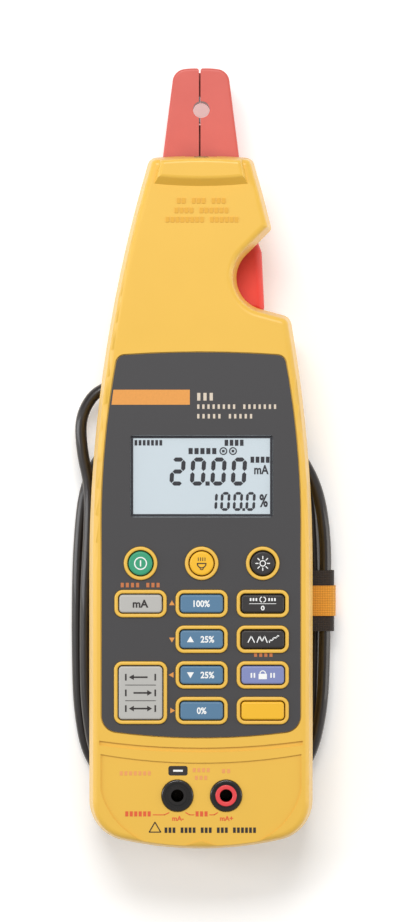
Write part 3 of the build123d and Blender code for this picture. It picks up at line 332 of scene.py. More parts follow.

# painted shade: the jaws' red is painted deeper on the trigger, which the hood shades, and paler at
# the tips
PAINTED_SHADE_END = 72 * MM           # along the meter, where the red begins to pale
PAINTED_SHADE_RATE = 60.0              # per metre, so that it is palest about 17 mm further on
jaw_red = moulded("jaw_red_moulded", srgb(214, 60, 46), roughness=0.45, grain=0.3, coat=0.1)
jaw_tree = jaw_red.node_tree
jaw_place = place(jaw_tree)
jaw_y = jaw_place.node("ShaderNodeSeparateXYZ", output=1, Vector=jaw_place)
# painted shade: nought on the shaded trigger, rising to one at the paler tips, which carry a random
# mottle
painted_shade_fade = ((jaw_y - PAINTED_SHADE_END) * PAINTED_SHADE_RATE).clamp()
tip_mottle = jaw_place.node("ShaderNodeTexNoise", Vector=jaw_place, Scale=90.0, Detail=4.0)
tip_red = mix(jaw_tree, tip_mottle, srgb(200, 84, 74), srgb(212, 98, 88))
shade(
    jaw_tree, jaw_tree.nodes["Principled BSDF"],
    Base_Color=mix(jaw_tree, painted_shade_fade, srgb(226, 58, 44), tip_red),
)
print("materials so far:", len(bpy.data.materials))

# %% [markdown]
# The keys are silicone rubber with a hard satin coat.  Rubber is duller than the case and a
# little translucent-looking, so it has a finer grain and a softer sheen.

# %% Key rubber
def key_rubber(name, colour):
    made = moulded(name, colour, roughness=0.5, grain=0.12, depth=0.006, variation=0.04, coat=0.25)
    made.node_tree.nodes["Principled BSDF"].inputs["Coat Roughness"].default_value = 0.3
    return made


key_green = key_rubber("key_green", srgb(42, 152, 112))
key_yellow = key_rubber("key_yellow", srgb(238, 182, 26))
key_black = key_rubber("key_black", srgb(34, 30, 31))
key_light_grey = key_rubber("key_light_grey", srgb(180, 179, 175))
key_blue = key_rubber("key_blue", srgb(80, 120, 152))
key_violet = key_rubber("key_violet", srgb(124, 134, 184))
mat_grey = key_rubber("mat_grey", srgb(150, 150, 150))
seal_black = key_rubber("seal_black", srgb(24, 24, 24))
relief_black = key_rubber("relief_black", srgb(40, 35, 33))

# %% [markdown]
# Turned and pressed metal keeps fine marks from its making.  A noise stretched along one axis
# breaks the reflection into short streaks.

# %% Metals
def metal(name, colour, roughness=0.28, streak=(1.0, 1.0, 12.0)):
    made, tree, shader = blank_material(name)
    here = place(tree)
    turned = here.node("ShaderNodeMapping", Vector=here, Scale=streak)
    marks = here.node("ShaderNodeTexNoise", Vector=turned, Scale=900.0, Detail=4.0)
    dull = here.node("ShaderNodeTexNoise", Vector=here, Scale=220.0, Detail=3.0)
    bump = here.node("ShaderNodeBump", Height=marks, Strength=0.4, Distance=0.004 * MM)
    tone = mix(tree, dull, scaled(colour, 0.88), colour)
    shade(
        tree, shader, Base_Color=tone, Normal=bump,
        Roughness=(roughness - 0.06 + marks * 0.10 + dull * 0.06).clamp(),
    )
    shader.inputs["Metallic"].default_value = 1.0
    return made


steel = metal("bright_steel", srgb(206, 208, 212))
# painted shade: the core's metal is a darker grey, so the wall inside the jaws' hole reads shaded
core_metal = metal("core_metal", srgb(120, 120, 124), roughness=0.3, streak=(1.0, 1.0, 0.1))
# painted shade: the jack contacts' metal is made nearly black, so the deep jack holes read dark
contact_shade_nickel = metal("dark_nickel_painted_shade", srgb(70, 64, 58), roughness=0.4)

# %% [markdown]
# The cable's jacket is smooth, dark and glossy, with slight waves from the extruder.  The strap
# is woven webbing: crossed waves make the over-and-under of its yarns.

# %% Cable jacket and webbing
def jacket(name, colour):
    made, tree, shader = blank_material(name)
    here = place(tree)
    wave = here.node("ShaderNodeTexNoise", Vector=here, Scale=130.0, Detail=2.0)
    dust = here.node("ShaderNodeTexNoise", Vector=here, Scale=1800.0, Detail=2.0)
    bump = here.node("ShaderNodeBump", Height=wave, Strength=0.5, Distance=0.15 * MM)
    tone = mix(tree, wave, scaled(colour, 0.8), scaled(colour, 1.15))
    shade(
        tree, shader, Base_Color=tone, Normal=bump,
        Roughness=(0.24 + wave * 0.12 + dust * 0.08).clamp(),
    )
    shader.inputs["Coat Weight"].default_value = 0.3
    return made


def webbing(name, colour, pitch=0.55):
    """Woven tape; pitch is the spacing of its yarns in millimetres."""
    made, tree, shader = blank_material(name)
    here = place(tree)
    across, along, upright = (
        here.node(
            "ShaderNodeTexWave", {"bands_direction": axis}, output=1,
            Vector=here, Scale=math.pi / (10 * pitch * MM), Distortion=0.4,
        )
        for axis in "XYZ"
    )
    weave = (across * 0.4 + along * 0.6) * (0.6 + upright * 0.4)
    fuzz = here.node("ShaderNodeTexNoise", Vector=here, Scale=2500.0, Detail=3.0)
    bump = here.node("ShaderNodeBump", Height=weave + fuzz * 0.3, Strength=0.8, Distance=0.18 * MM)
    tone = mix(tree, weave, scaled(colour, 0.55), scaled(colour, 1.25))
    shade(tree, shader, Base_Color=tone, Normal=bump, Roughness=(0.7 + fuzz * 0.2).clamp())
    shader.inputs["Sheen Weight"].default_value = 0.2
    return made


cable_jacket = jacket("cable_jacket_gloss", srgb(32, 26, 25))
strap_black = webbing("strap_black_weave", srgb(46, 38, 36))
strap_orange = webbing("strap_orange_weave", srgb(246, 162, 52))
cable.data.materials.append(cable_jacket)

# %% [markdown]
# A board is laminate under green solder mask, the display is a pale reflective glass with a soft
# glow from its lamp behind, and the windows over them are clear.

# %% Glass, display and boards
def display_glass(name, colour):
    made, tree, shader = blank_material(name)
    here = place(tree)
    cloud = here.node("ShaderNodeTexNoise", Vector=here, Scale=60.0, Detail=1.0)
    speck = here.node("ShaderNodeTexNoise", Vector=here, Scale=4000.0, Detail=1.0)
    tone = mix(tree, cloud, scaled(colour, 0.96), scaled(colour, 1.03))
    shade(tree, shader, Base_Color=tone, Roughness=0.32 + speck * 0.08)
    shade(tree, shader, Emission_Color=tone)
    shader.inputs["Emission Strength"].default_value = 0.12
    return made


def clear_sheet(name, alpha):
    made, tree, shader = blank_material(name)
    here = place(tree)
    wipe = here.node("ShaderNodeTexNoise", Vector=here, Scale=90.0, Detail=4.0)
    shade(tree, shader, Roughness=(0.02 + wipe * 0.08).clamp())
    shader.inputs["Base Color"].default_value = (0.12, 0.13, 0.15, 1.0)
    shader.inputs["Alpha"].default_value = alpha
    shader.inputs["Specular IOR Level"].default_value = 0.35
    return made


def circuit_board(name, colour):
    """Solder mask with faint copper tracks under it."""
    made, tree, shader = blank_material(name)
    here = place(tree)
    tracks = here.node(
        "ShaderNodeTexBrick", {"offset": 0.5}, output=1, Vector=here, Scale=120.0, Mortar_Size=0.03,
    )
    grain = here.node("ShaderNodeTexNoise", Vector=here, Scale=700.0, Detail=3.0)
    tone = mix(tree, tracks, colour, scaled(colour, 2.2))
    bump = here.node("ShaderNodeBump", Height=tracks, Strength=0.5, Distance=0.03 * MM)
    shade(tree, shader, Base_Color=tone, Normal=bump, Roughness=0.3 + grain * 0.15)
    return made


lcd_glass = display_glass("lcd_pale_glass", srgb(204, 216, 223))
window_clear = clear_sheet("window_clear", 0.05)
lens_clear = clear_sheet("lens_clear", 0.35)
board_green = circuit_board("board_green_mask", srgb(24, 92, 52))
component_black = moulded("component_epoxy", srgb(30, 30, 32), roughness=0.5)
cell_film = moulded("cell_film", srgb(52, 54, 60), roughness=0.3, depth=0.002, coat=0.4)

# %% [markdown]
# Each CAD node keeps its shape and takes a finish.  The list goes from each finish to the nodes
# that take it, so one line can dress several pieces.

# %% Finish every CAD node
FINISHES = (
    (case_yellow, "front_case rear_case handpiece_back_shell handpiece_front_shell"),
    (jaw_red, "fixed_jaw moving_jaw"),
    (panel_grey, "control_panel"),
    (dark_plastic, "dock_plate display_frame"),
    (door_grey, "battery_door"),
    (fastener_grey, "lower_door_fastener upper_door_fastener"),
    (key_green, "power_key"),
    (key_yellow, "lamp_key blank_key"),
    (key_black, "backlight_key clamp_zero_key ramp_key"),
    (key_light_grey, "current_key mode_key"),
    (key_blue, "full_scale_key step_up_key step_down_key zero_scale_key"),
    (key_violet, "hold_key"),
    (mat_grey, "keypad_mat"),
    (seal_black, "case_seal"),
    (relief_black, "handpiece_strain_relief case_strain_relief"),
    (window_clear, "display_window"),
    (lens_clear, "spotlight_lens"),
    (lcd_glass, "display_cell"),
    (white_plastic, "display_backlight spotlight_lamp"),
    (board_green, "main_board sensor_board"),
    (component_black, "board_parts"),
    (cell_film, "battery_cells"),
    (steel, "board_screws case_screws dock_screws handpiece_screws pivot_pin"),
    (steel, "trigger_spring battery_springs battery_contacts"),
    (core_metal, "fixed_core moving_core"),
    (jack_black, "com_jack_housing ma_jack_housing"),
    (jack_red, "ma_jack_collar"),
    (contact_shade_nickel, "com_jack_contact ma_jack_contact"),
    (strap_black, "cable_strap"),
    (strap_orange, "cable_strap_band"),
)
finished = 0
for finish, names in FINISHES:
    for name in names.split():
        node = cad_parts[name]
        node.data.materials.clear()
        node.data.materials.append(finish)
        finished += 1
print("nodes with a finish:", finished, "of", len(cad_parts))

# %% [markdown]
# Printing is real geometry too: films of ink a few hundredths of a millimetre thick.  Every mark
# is made of flat polygons, so a short list of outlines is enough for bars, rings, segments and
# triangles, and one function turns a list into a thin solid at the right height.

# %% Ink: flat outlines made into thin solids
INK = 0.05                      # thickness of a film of ink, in millimetres
LIFT = 0.005                    # gap that keeps a film clear of the face under it


def solid(name, outlines, z, material, body, thick=INK):
    """Thin prisms from outlines in millimetres, standing on height z, riding on a body."""
    shape = bmesh.new()
    for outline in outlines:
        low = [shape.verts.new((x * MM, y * MM, z * MM)) for x, y in outline]
        high = [shape.verts.new((x * MM, y * MM, (z + thick) * MM)) for x, y in outline]
        shape.faces.new(low)
        shape.faces.new(high)
        for i in range(len(low)):
            j = (i + 1) % len(low)
            shape.faces.new((low[i], low[j], high[j], high[i]))
    bmesh.ops.recalc_face_normals(shape, faces=shape.faces)
    mesh = bpy.data.meshes.new(name)
    shape.to_mesh(mesh)
    shape.free()
    mesh.materials.append(material)
    piece = bpy.data.objects.new(name, mesh)
    bpy.context.collection.objects.link(piece)
    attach(piece, body)
    return piece


def bar(x, y, width, height):
    """A rectangle about its middle."""
    dx, dy = width / 2, height / 2
    return [(x - dx, y - dy), (x + dx, y - dy), (x + dx, y + dy), (x - dx, y + dy)]


def stroke(start, end, width):
    """A straight line of some width, with slightly pointed ends."""
    along = Vector((end[0] - start[0], end[1] - start[1])).normalized() * (width / 2)
    side = Vector((-along.y, along.x))
    a, b = Vector(start), Vector(end)
    corners = (a + side, a - along, a - side, b - side, b + along, b + side)
    return [(corner.x, corner.y) for corner in corners]


def strokes(points, width):
    """A chain of straight lines."""
    return [stroke(a, b, width) for a, b in zip(points, points[1:])]


def arc(x, y, radius, first=0.0, last=360.0, steps=28):
    """Points along an arc, angles in degrees."""
    angles = [math.radians(first + (last - first) * i / steps) for i in range(steps + 1)]
    return [(x + radius * math.cos(t), y + radius * math.sin(t)) for t in angles]


def ring(x, y, radius, width, first=0.0, last=360.0, steps=28):
    """An arc of some width, as separate little quads that share their ends."""
    inner = arc(x, y, radius - width / 2, first, last, steps)
    outer = arc(x, y, radius + width / 2, first, last, steps)
    return [[inner[i], outer[i], outer[i + 1], inner[i + 1]] for i in range(steps)]


def triangle(x, y, size, turn=0.0):
    """A triangle that points up, turned anticlockwise by turn degrees."""
    return [
        (x + size * math.cos(math.radians(90 + turn + 120 * i)),
         y + size * math.sin(math.radians(90 + turn + 120 * i)))
        for i in range(3)
    ]


# %% [markdown]
# Numbers and units use the plain built-in letter shapes.  A text object is turned into a mesh
# first, and only then moved, so that its place ends up in its points.

# %% Ink: numbers and units
def lettering(name, text, x, y, height, z, material, body, stretch=1.0):
    """Upright characters centred on x, y; height is that of a capital, in millimetres."""
    data = bpy.data.curves.new(name, "FONT")
    data.body = text
    data.align_x = "CENTER"
    data.align_y = "CENTER"
    data.extrude = 0.5
    data.offset = 0.028
    data.resolution_u = 4
    piece = as_mesh(bpy.data.objects.new(name + "_text", data), name)
    xs = [v.co.x for v in piece.data.vertices]
    ys = [v.co.y for v in piece.data.vertices]
    size = height / (max(ys) - min(ys))
    middle = Vector(((max(xs) + min(xs)) / 2, (max(ys) + min(ys)) / 2, 0))
    for vertex in piece.data.vertices:
        local = vertex.co - middle
        vertex.co = (
            (x + local.x * size * stretch) * MM, (y + local.y * size) * MM,
            (z + INK / 2 + local.z * INK) * MM,
        )
    piece.data.materials.clear()
    piece.data.materials.append(material)
    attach(piece, body)
    return piece


def ink(name, colour, roughness=0.45):
    """Pad-printed ink: slightly uneven in tone and gloss."""
    made, tree, shader = blank_material(name)
    here = place(tree)
    mottle = here.node("ShaderNodeTexNoise", Vector=here, Scale=1500.0, Detail=3.0)
    tone = mix(tree, mottle, scaled(colour, 0.9), scaled(colour, 1.08))
    shade(tree, shader, Base_Color=tone, Roughness=roughness + mottle * 0.12)
    return made


ink_white = ink("ink_white", srgb(240, 241, 240))
ink_dark = ink("ink_dark", srgb(40, 34, 33))
ink_orange = ink("ink_orange", srgb(224, 152, 70))
ink_dim = ink("ink_dim_orange", srgb(190, 112, 62))
ink_pale = ink("ink_pale", srgb(212, 198, 180))
ink_pink = ink("ink_pink", srgb(232, 158, 92))
ink_red = ink("ink_red", srgb(222, 92, 48))
ink_segment = ink("ink_segment", srgb(44, 44, 50), roughness=0.3)

# %% [markdown]
# The display shows a plain reading.  Seven-segment figures are six-cornered bars round a figure
# of eight; a table says which bars each figure of the reading lights.

# %% The display's figures
SEGMENTS = {"0": "abcdef", "1": "bc", "2": "abged"}


def seven_segment(figure, x, y, width, height, bold):
    """Outlines of one figure whose lower left corner is x, y."""
    w, h, b = width - bold, height - bold, bold / 2
    ends = {
        "a": ((0, h), (w, h)), "g": ((0, h / 2), (w, h / 2)), "d": ((0, 0), (w, 0)),
        "f": ((0, h / 2), (0, h)), "b": ((w, h / 2), (w, h)),
        "e": ((0, 0), (0, h / 2)), "c": ((w, 0), (w, h / 2)),
    }
    slant = 0.06
    gap = 0.12              # space at each end of a bar, as a share of its width
    outlines = []
    for segment in SEGMENTS[figure]:
        (x0, y0), (x1, y1) = ends[segment]
        along = Vector((x1 - x0, y1 - y0)).normalized()
        start = Vector((x0, y0)) + along * gap * bold
        end = Vector((x1, y1)) - along * gap * bold
        side = Vector((-along.y, along.x)) * b
        tip = along * b
        points = (start, start + tip + side, end - tip + side, end, end - tip - side,
                  start + tip - side)
        outlines.append([(x + b + p.x + slant * p.y, y + b + p.y) for p in points])
    return outlines


GLASS_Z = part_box("display_cell")[1][2] / MM + 0.01


def reading(text, x, y, width, height, bold, pitch):
    outlines = []
    for character in text:
        if character == ".":
            outlines.append(bar(x - (pitch - width) / 2, y + bold / 2, bold, bold))
        else:
            outlines += seven_segment(character, x, y, width, height, bold)
            x += pitch
    return outlines


main_figures = reading("20.00", -9.9, -8.6, 4.7, 8.8, 1.3, 6.4)
small_figures = reading("100.0", 2.0, -16.5, 3.0, 5.9, 0.85, 3.95)
solid("display_main_figures", main_figures, GLASS_Z, ink_segment, "meter")
solid("display_small_figures", small_figures, GLASS_Z, ink_segment, "meter")
lettering("display_milliamps", "mA", 18.9, -3.6, 2.9, GLASS_Z, ink_segment, "meter", stretch=0.8)
lettering("display_percent", "%", 19.6, -13.3, 4.1, GLASS_Z, ink_segment, "meter", stretch=0.7)

# %% The display's small marks: rows of bars and two ringed dots
def row(x, y, count, pitch, width, height):
    """Equal upright bars, the first one starting at x."""
    return [bar(x + width / 2 + pitch * i, y, width, height) for i in range(count)]


marks = ring(7.0, 2.2, 1.05, 0.36) + ring(10.0, 2.2, 1.05, 0.36)
marks += [bar(7.0, 2.2, 0.8, 0.8), bar(10.0, 2.2, 0.8, 0.8)]
marks += row(-3.9, 2.2, 5, 1.85, 1.3, 1.9)
marks += row(-20.8, 4.8, 7, 1.3, 0.85, 1.7)
marks += row(7.4, 4.8, 4, 1.6, 1.1, 1.9)
marks += row(15.5, -0.5, 4, 1.6, 1.15, 1.9)
solid("display_state_marks", marks, GLASS_Z, ink_segment, "meter")
print("display figures:", len(main_figures) + len(small_figures), "bars")

# %% [markdown]
# A dark line is printed on the back of the window, round the glass.

# %% The window's dark border
(wx0, wy0, _), (wx1, wy1, _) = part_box("display_window")
wx0, wy0, wx1, wy1 = (v / MM for v in (wx0, wy0, wx1, wy1))
BORDER = 0.85
middle_x, middle_y = (wx0 + wx1) / 2, (wy0 + wy1) / 2
border = [
    bar(middle_x, wy1 - BORDER / 2, wx1 - wx0, BORDER),
    bar(middle_x, wy0 + BORDER / 2, wx1 - wx0, BORDER),
    bar(wx0 + BORDER / 2, middle_y, BORDER, wy1 - wy0 - 2 * BORDER),
    bar(wx1 - BORDER / 2, middle_y, BORDER, wy1 - wy0 - 2 * BORDER),
]
solid("window_border", border, GLASS_Z + 0.02, ink_segment, "meter", thick=0.03)

# %% [markdown]
# Key legends.  Each one stands on its own key and moves with it, so the height comes from the
# key's box.  Words give way to signs: a bar in a ring for power, a lamp, a sun, a padlock, jaws
# over a nought, arrows in and out.

# %% Legends on the round keys
def key_place(node):
    """Middle x, middle y and top of a key, in millimetres."""
    low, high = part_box(node)
    return (
        (low[0] + high[0]) / 2 / MM, (low[1] + high[1]) / 2 / MM, high[2] / MM + LIFT,
    )


x, y, top = key_place("power_key")
power = ring(x, y, 1.85, 0.36) + [bar(x, y, 0.40, 1.9)]
solid("power_sign", power, top, ink_white, "power_key")

x, y, top = key_place("lamp_key")
lamp = ring(x, y - 0.05, 1.35, 0.34, 180, 360, 18) + [bar(x, y - 0.02, 3.0, 0.34)]
lamp += [bar(x - 1.05 + 0.7 * i, y + 1.3, 0.24, 1.1) for i in range(4)]
lamp += ring(x, y - 1.5, 0.5, 0.25, 180, 360, 10)
solid("lamp_sign", lamp, top, ink_dark, "lamp_key")

x, y, top = key_place("backlight_key")
sun = ring(x, y, 0.85, 0.30)
for i in range(8):
    ray = math.radians(45 * i)
    sun.append(stroke(
        (x + 1.4 * math.cos(ray), y + 1.4 * math.sin(ray)),
        (x + 2.2 * math.cos(ray), y + 2.2 * math.sin(ray)), 0.32,
    ))
solid("backlight_sign", sun, top, ink_white, "backlight_key")

# %% Legends on the wide keys
NUMBER = 2.1
x, y, top = key_place("current_key")
lettering("current_legend", "mA", x, y, 2.5, top, ink_dark, "current_key")
for node, text, shift in (
    ("full_scale_key", "100%", 0.0), ("step_up_key", "25%", 1.8),
    ("step_down_key", "25%", 1.8), ("zero_scale_key", "0%", 0.0),
):
    x, y, top = key_place(node)
    lettering(node + "_legend", text, x + shift, y, NUMBER, top, ink_white, node, stretch=0.92)
x, y, top = key_place("step_up_key")
solid("step_up_sign", [triangle(x - 3.5, y - 0.25, 1.25)], top, ink_white, "step_up_key")
x, y, top = key_place("step_down_key")
solid("step_down_sign", [triangle(x - 3.5, y + 0.25, 1.25, 180)], top, ink_white, "step_down_key")

x, y, top = key_place("clamp_zero_key")
jaws = ring(x - 0.1, y + 1.3, 0.8, 0.3, 100, 260, 14) + ring(x + 0.1, y + 1.3, 0.8, 0.3, -80, 80, 14)
jaws += [bar(x, y, 8.4, 0.16)]
jaws += [bar(x + side * (2.0 + 0.9 * i), y + 1.3, 0.5, 0.9) for side in (-1, 1) for i in range(3)]
solid("clamp_zero_sign", jaws, top, ink_white, "clamp_zero_key")
lettering("clamp_zero_nought", "0", x, y - 1.35, 1.5, top, ink_white, "clamp_zero_key", stretch=1.2)

x, y, top = key_place("ramp_key")
ramp = strokes([(x - 4.6, y - 0.95), (x - 3.6, y + 1.05), (x - 2.6, y - 0.95)], 0.32)
ramp += strokes(
    [(x - 1.8, y - 0.95), (x - 1.0, y + 1.05), (x - 0.2, y - 0.65), (x + 0.6, y + 1.05),
     (x + 1.4, y - 0.95)], 0.32,
)
ramp += strokes(
    [(x + 2.1, y - 0.95), (x + 2.1, y - 0.3), (x + 3.2, y - 0.3), (x + 3.2, y + 0.5),
     (x + 4.4, y + 0.5), (x + 4.4, y + 1.1), (x + 5.0, y + 1.1)], 0.36,
)
solid("ramp_sign", ramp, top, ink_white, "ramp_key")

x, y, top = key_place("hold_key")
padlock = [bar(x, y - 0.45, 2.6, 1.7)] + ring(x, y + 0.45, 0.85, 0.32, 0, 180, 14)
padlock += [bar(x + side * (2.6 + 0.95 * i), y - 0.1, 0.5, 1.5) for side in (-1, 1) for i in range(2)]
solid("hold_sign", padlock, top, ink_white, "hold_key")

# %% Legends on the tall key: in, out, and both ways
x, y, top = key_place("mode_key")
mode = []
for step, ends in ((4.9, (1, 0)), (0.0, (0, 1)), (-4.9, (1, 1))):
    mode.append(bar(x, y + step, 4.4, 0.5))
    mode += [bar(x + side * 4.6, y + step, 0.5, 2.1) for side in (-1, 1)]
    if ends[0]:
        mode.append(triangle(x - 2.6, y + step, 1.0, 90))
    if ends[1]:
        mode.append(triangle(x + 2.6, y + step, 1.0, -90))
mode += [bar(x, y + 2.45, 9.6, 0.2), bar(x, y - 2.45, 9.6, 0.2)]
solid("mode_sign", mode, top, ink_dark, "mode_key")

# %% [markdown]
# The panel carries an orange stripe at the top left, arrows beside the blue keys and small
# orange marks.  Where the real panel has words, rows of short dashes keep the rhythm of the
# printing and say nothing.  Rows of equal dashes are what Geometry Nodes are for: a tree with
# a count, a pitch and a size makes every one of them, and the embossed rows on the hood too.

# %% A tree that lays a row of rounded dashes
def output_with_material(tree, geometry, material):
    """End a tree as the export needs it: real geometry, one material."""
    real = tree.nodes.new("GeometryNodeRealizeInstances")
    paint = tree.nodes.new("GeometryNodeSetMaterial")
    paint.inputs["Material"].default_value = material
    out = tree.nodes.new("NodeGroupOutput")
    tree.links.new(geometry, real.inputs[0])
    tree.links.new(real.outputs[0], paint.inputs[0])
    tree.links.new(paint.outputs[0], out.inputs[0])


def new_tree(name, sizes):
    """An empty geometry tree with one output and named inputs, (name, type) pairs."""
    tree = bpy.data.node_groups.new(name, "GeometryNodeTree")
    tree.interface.new_socket(name="Geometry", in_out="OUTPUT", socket_type="NodeSocketGeometry")
    sockets = {}
    for label, kind in sizes:
        sockets[label] = tree.interface.new_socket(
            name=label, in_out="INPUT", socket_type="NodeSocket" + kind
        ).identifier
    return tree, tree.nodes.new("NodeGroupInput"), sockets


def grown(name, tree, sockets, values, body):
    """Run a tree with its inputs set, keep the result as a plain mesh, and let it ride."""
    seedling = bpy.data.objects.new(name + "_tree", bpy.data.meshes.new(name + "_tree"))
    bpy.context.collection.objects.link(seedling)
    modifier = seedling.modifiers.new("grow", "NODES")
    modifier.node_group = tree
    for label, value in values.items():
        modifier[sockets[label]] = value
    piece = as_mesh(seedling, name)
    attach(piece, body)
    return piece


def dash_tree(name, material):
    tree, given, sockets = new_tree(
        name, (("Count", "Int"), ("Start", "Vector"), ("Pitch", "Vector"), ("Size", "Vector")),
    )
    row = tree.nodes.new("GeometryNodeMeshLine")
    dash = tree.nodes.new("GeometryNodeMeshCube")
    each = tree.nodes.new("GeometryNodeInstanceOnPoints")
    tree.links.new(given.outputs["Count"], row.inputs["Count"])
    tree.links.new(given.outputs["Start"], row.inputs["Start Location"])
    tree.links.new(given.outputs["Pitch"], row.inputs["Offset"])
    tree.links.new(given.outputs["Size"], dash.inputs["Size"])
    tree.links.new(row.outputs[0], each.inputs["Points"])
    tree.links.new(dash.outputs[0], each.inputs["Instance"])
    output_with_material(tree, each.outputs[0], material)
    return tree, sockets


def dashes(name, tree, sockets, x, y, z, count, pitch, size, body="meter"):
    """A row of dashes centred on x, y and standing on z, everything in millimetres."""
    start = x - pitch * (count - 1) / 2
    values = {
        "Count": count,
        "Start": (start * MM, y * MM, (z + size[2] / 2) * MM),
        "Pitch": (pitch * MM, 0.0, 0.0),
        "Size": tuple(v * MM for v in size),
    }
    return grown(name, tree, sockets, values, body)


def printed_line(name, grid, x, y, z, words, pitch, size):
    """Words as rows of dashes: the first starts at x, and a blank pitch parts them."""
    tree, sockets = grid
    for number, count in enumerate(words):
        middle = x + pitch * (count - 1) / 2 + size[0] / 2
        dashes(f"{name}_{number + 1}", tree, sockets, middle, y, z, count, pitch, size)
        x += pitch * (count + 1)


PANEL_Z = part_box("control_panel")[1][2] / MM + LIFT
pale_grid = dash_tree("pale_dashes", ink_pale)
printed_line("panel_line_one", pale_grid, -1.2, 19.2, PANEL_Z, (3,), 1.95, (1.0, 2.4, INK))
printed_line("panel_line_two", pale_grid, -1.2, 16.1, PANEL_Z, (8, 7), 1.6, (0.7, 1.4, INK))
printed_line("panel_line_three", pale_grid, -1.2, 13.1, PANEL_Z, (5, 5), 1.65, (0.7, 1.4, INK))
dim_grid = dash_tree("dim_dashes", ink_dim)
printed_line("over_current_key", dim_grid, -25.1, -39.7, PANEL_Z, (4, 3), 1.6, (0.95, 1.4, INK))
printed_line("over_hold_key", dim_grid, 16.6, -61.5, PANEL_Z, (4,), 1.6, (0.95, 1.3, INK))

# %% The stripe and the arrows beside the blue keys
stripe = [[(-27.4, 21.4), (-28.0, 16.7), (-3.5, 16.7), (-3.5, 21.4)]]
solid("panel_stripe", stripe, PANEL_Z, ink_orange, "meter")
arrows = []
for node, turn in (
    ("full_scale_key", 0), ("step_up_key", 180), ("step_down_key", 90), ("zero_scale_key", -90),
):
    _, y, _ = key_place(node)
    arrows.append(triangle(-9.1, y, 1.0, turn))
solid("panel_arrows", arrows, PANEL_Z, ink_orange, "meter")

# %% [markdown]
# On the hood three short rows are embossed in the plastic: the same tree, in a darker yellow than
# the case, painted shade for their raised edges, standing 0.25 mm out of the face.  Round the jacks
# the printing is in soft pink and red, with a dark row under it.

# %% Embossed rows on the hood, and the printing round the jacks
PANEL_RISE = 0.105              # from the case's face to the ink on the panel
RECESS_DEPTH = 0.6              # of the face round the jacks
FACE_Z = PANEL_Z - PANEL_RISE
# painted shade: the embossed rows are a darker yellow than the case, for the shading along their
# edges
embossed_painted_shade_yellow = moulded("embossed_yellow_painted_shade", srgb(222, 166, 46), roughness=0.45)
emboss_grid = dash_tree("embossed_dashes", embossed_painted_shade_yellow)
EMBOSSED = (1.05, 1.6, 0.3)
EMBOSSED_Z = FACE_Z - 0.05      # sunk a little, so that no gap shows under a row
printed_line("embossed_one", emboss_grid, -7.5, 80.5, EMBOSSED_Z, (2, 3, 3), 1.56, EMBOSSED)
printed_line("embossed_two", emboss_grid, -8.2, 77.5, EMBOSSED_Z, (4, 6), 1.56, EMBOSSED)
printed_line("embossed_three", emboss_grid, -11.0, 74.6, EMBOSSED_Z, (8, 6), 1.54, EMBOSSED)

JACK_Z = FACE_Z - RECESS_DEPTH + LIFT
pink_grid = dash_tree("pink_dashes", ink_pink)
SMALL = (0.9, 1.3, INK)
printed_line("pink_left", pink_grid, -25.4, -98.6, JACK_Z, (7,), 1.46, SMALL)
printed_line("pink_top", pink_grid, -2.6, -97.6, JACK_Z, (4,), 1.46, SMALL)
printed_line("pink_low", pink_grid, -1.9, -100.0, JACK_Z, (3,), 1.46, SMALL)
printed_line("pink_right", pink_grid, 6.6, -97.9, JACK_Z, (2,), 1.6, SMALL)
red_grid = dash_tree("red_dashes", ink_red)
printed_line("red_left", red_grid, -23.7, -111.3, JACK_Z, (6,), 1.4, (0.95, 1.6, INK))
printed_line("red_centre", red_grid, -1.7, -111.3, JACK_Z, (3,), 1.4, (0.95, 1.6, INK))
lettering("red_minus", "mA-", -7.2, -112.7, 1.55, JACK_Z, ink_red, "meter")
lettering("red_plus", "mA+", 8.0, -112.7, 1.55, JACK_Z, ink_red, "meter")
lead_lines = []
for start, end in (((-15.0, -111.6), (-11.4, -111.6)), ((-11.4, -111.6), (-10.0, -110.9)),
                   ((-4.8, -110.9), (-3.5, -111.6)), ((-3.5, -111.6), (-2.2, -111.6)),
                   ((2.7, -111.6), (4.2, -111.6)), ((4.2, -111.6), (5.2, -110.9))):
    lead_lines.append(stroke(start, end, 0.28))
solid("red_lead_lines", lead_lines, JACK_Z, ink_red, "meter")
dark_grid = dash_tree("dark_dashes", ink_dark)
printed_line("dark_row", dark_grid, -11.4, -116.4, JACK_Z, (3, 4, 3, 3, 6), 1.26, (0.85, 1.7, INK))
caution = strokes([(-16.2, -117.0), (-14.4, -113.9), (-12.6, -117.0), (-16.2, -117.0)], 0.34)
solid("dark_triangle", caution, JACK_Z, ink_dark, "meter")
corners = []
for corner_x, corner_y, first in ((-4.9, -97.0, 0), (-9.5, -97.0, 90), (-9.5, -98.6, 180),
                                  (-4.9, -98.6, 270)):
    corners += arc(corner_x, corner_y, 0.7, first, first + 90, 5)
solid("com_label", [corners], JACK_Z, ink_dark, "meter")
solid("com_label_sign", [bar(-7.2, -97.8, 3.0, 0.6)], JACK_Z + INK, ink_white, "meter")

# %% [markdown]
# Springs are wire wound into a helix.  A spiral curve swept with a small circle is the whole
# tree; its inputs are the turns, the height, the two radii and the wire.

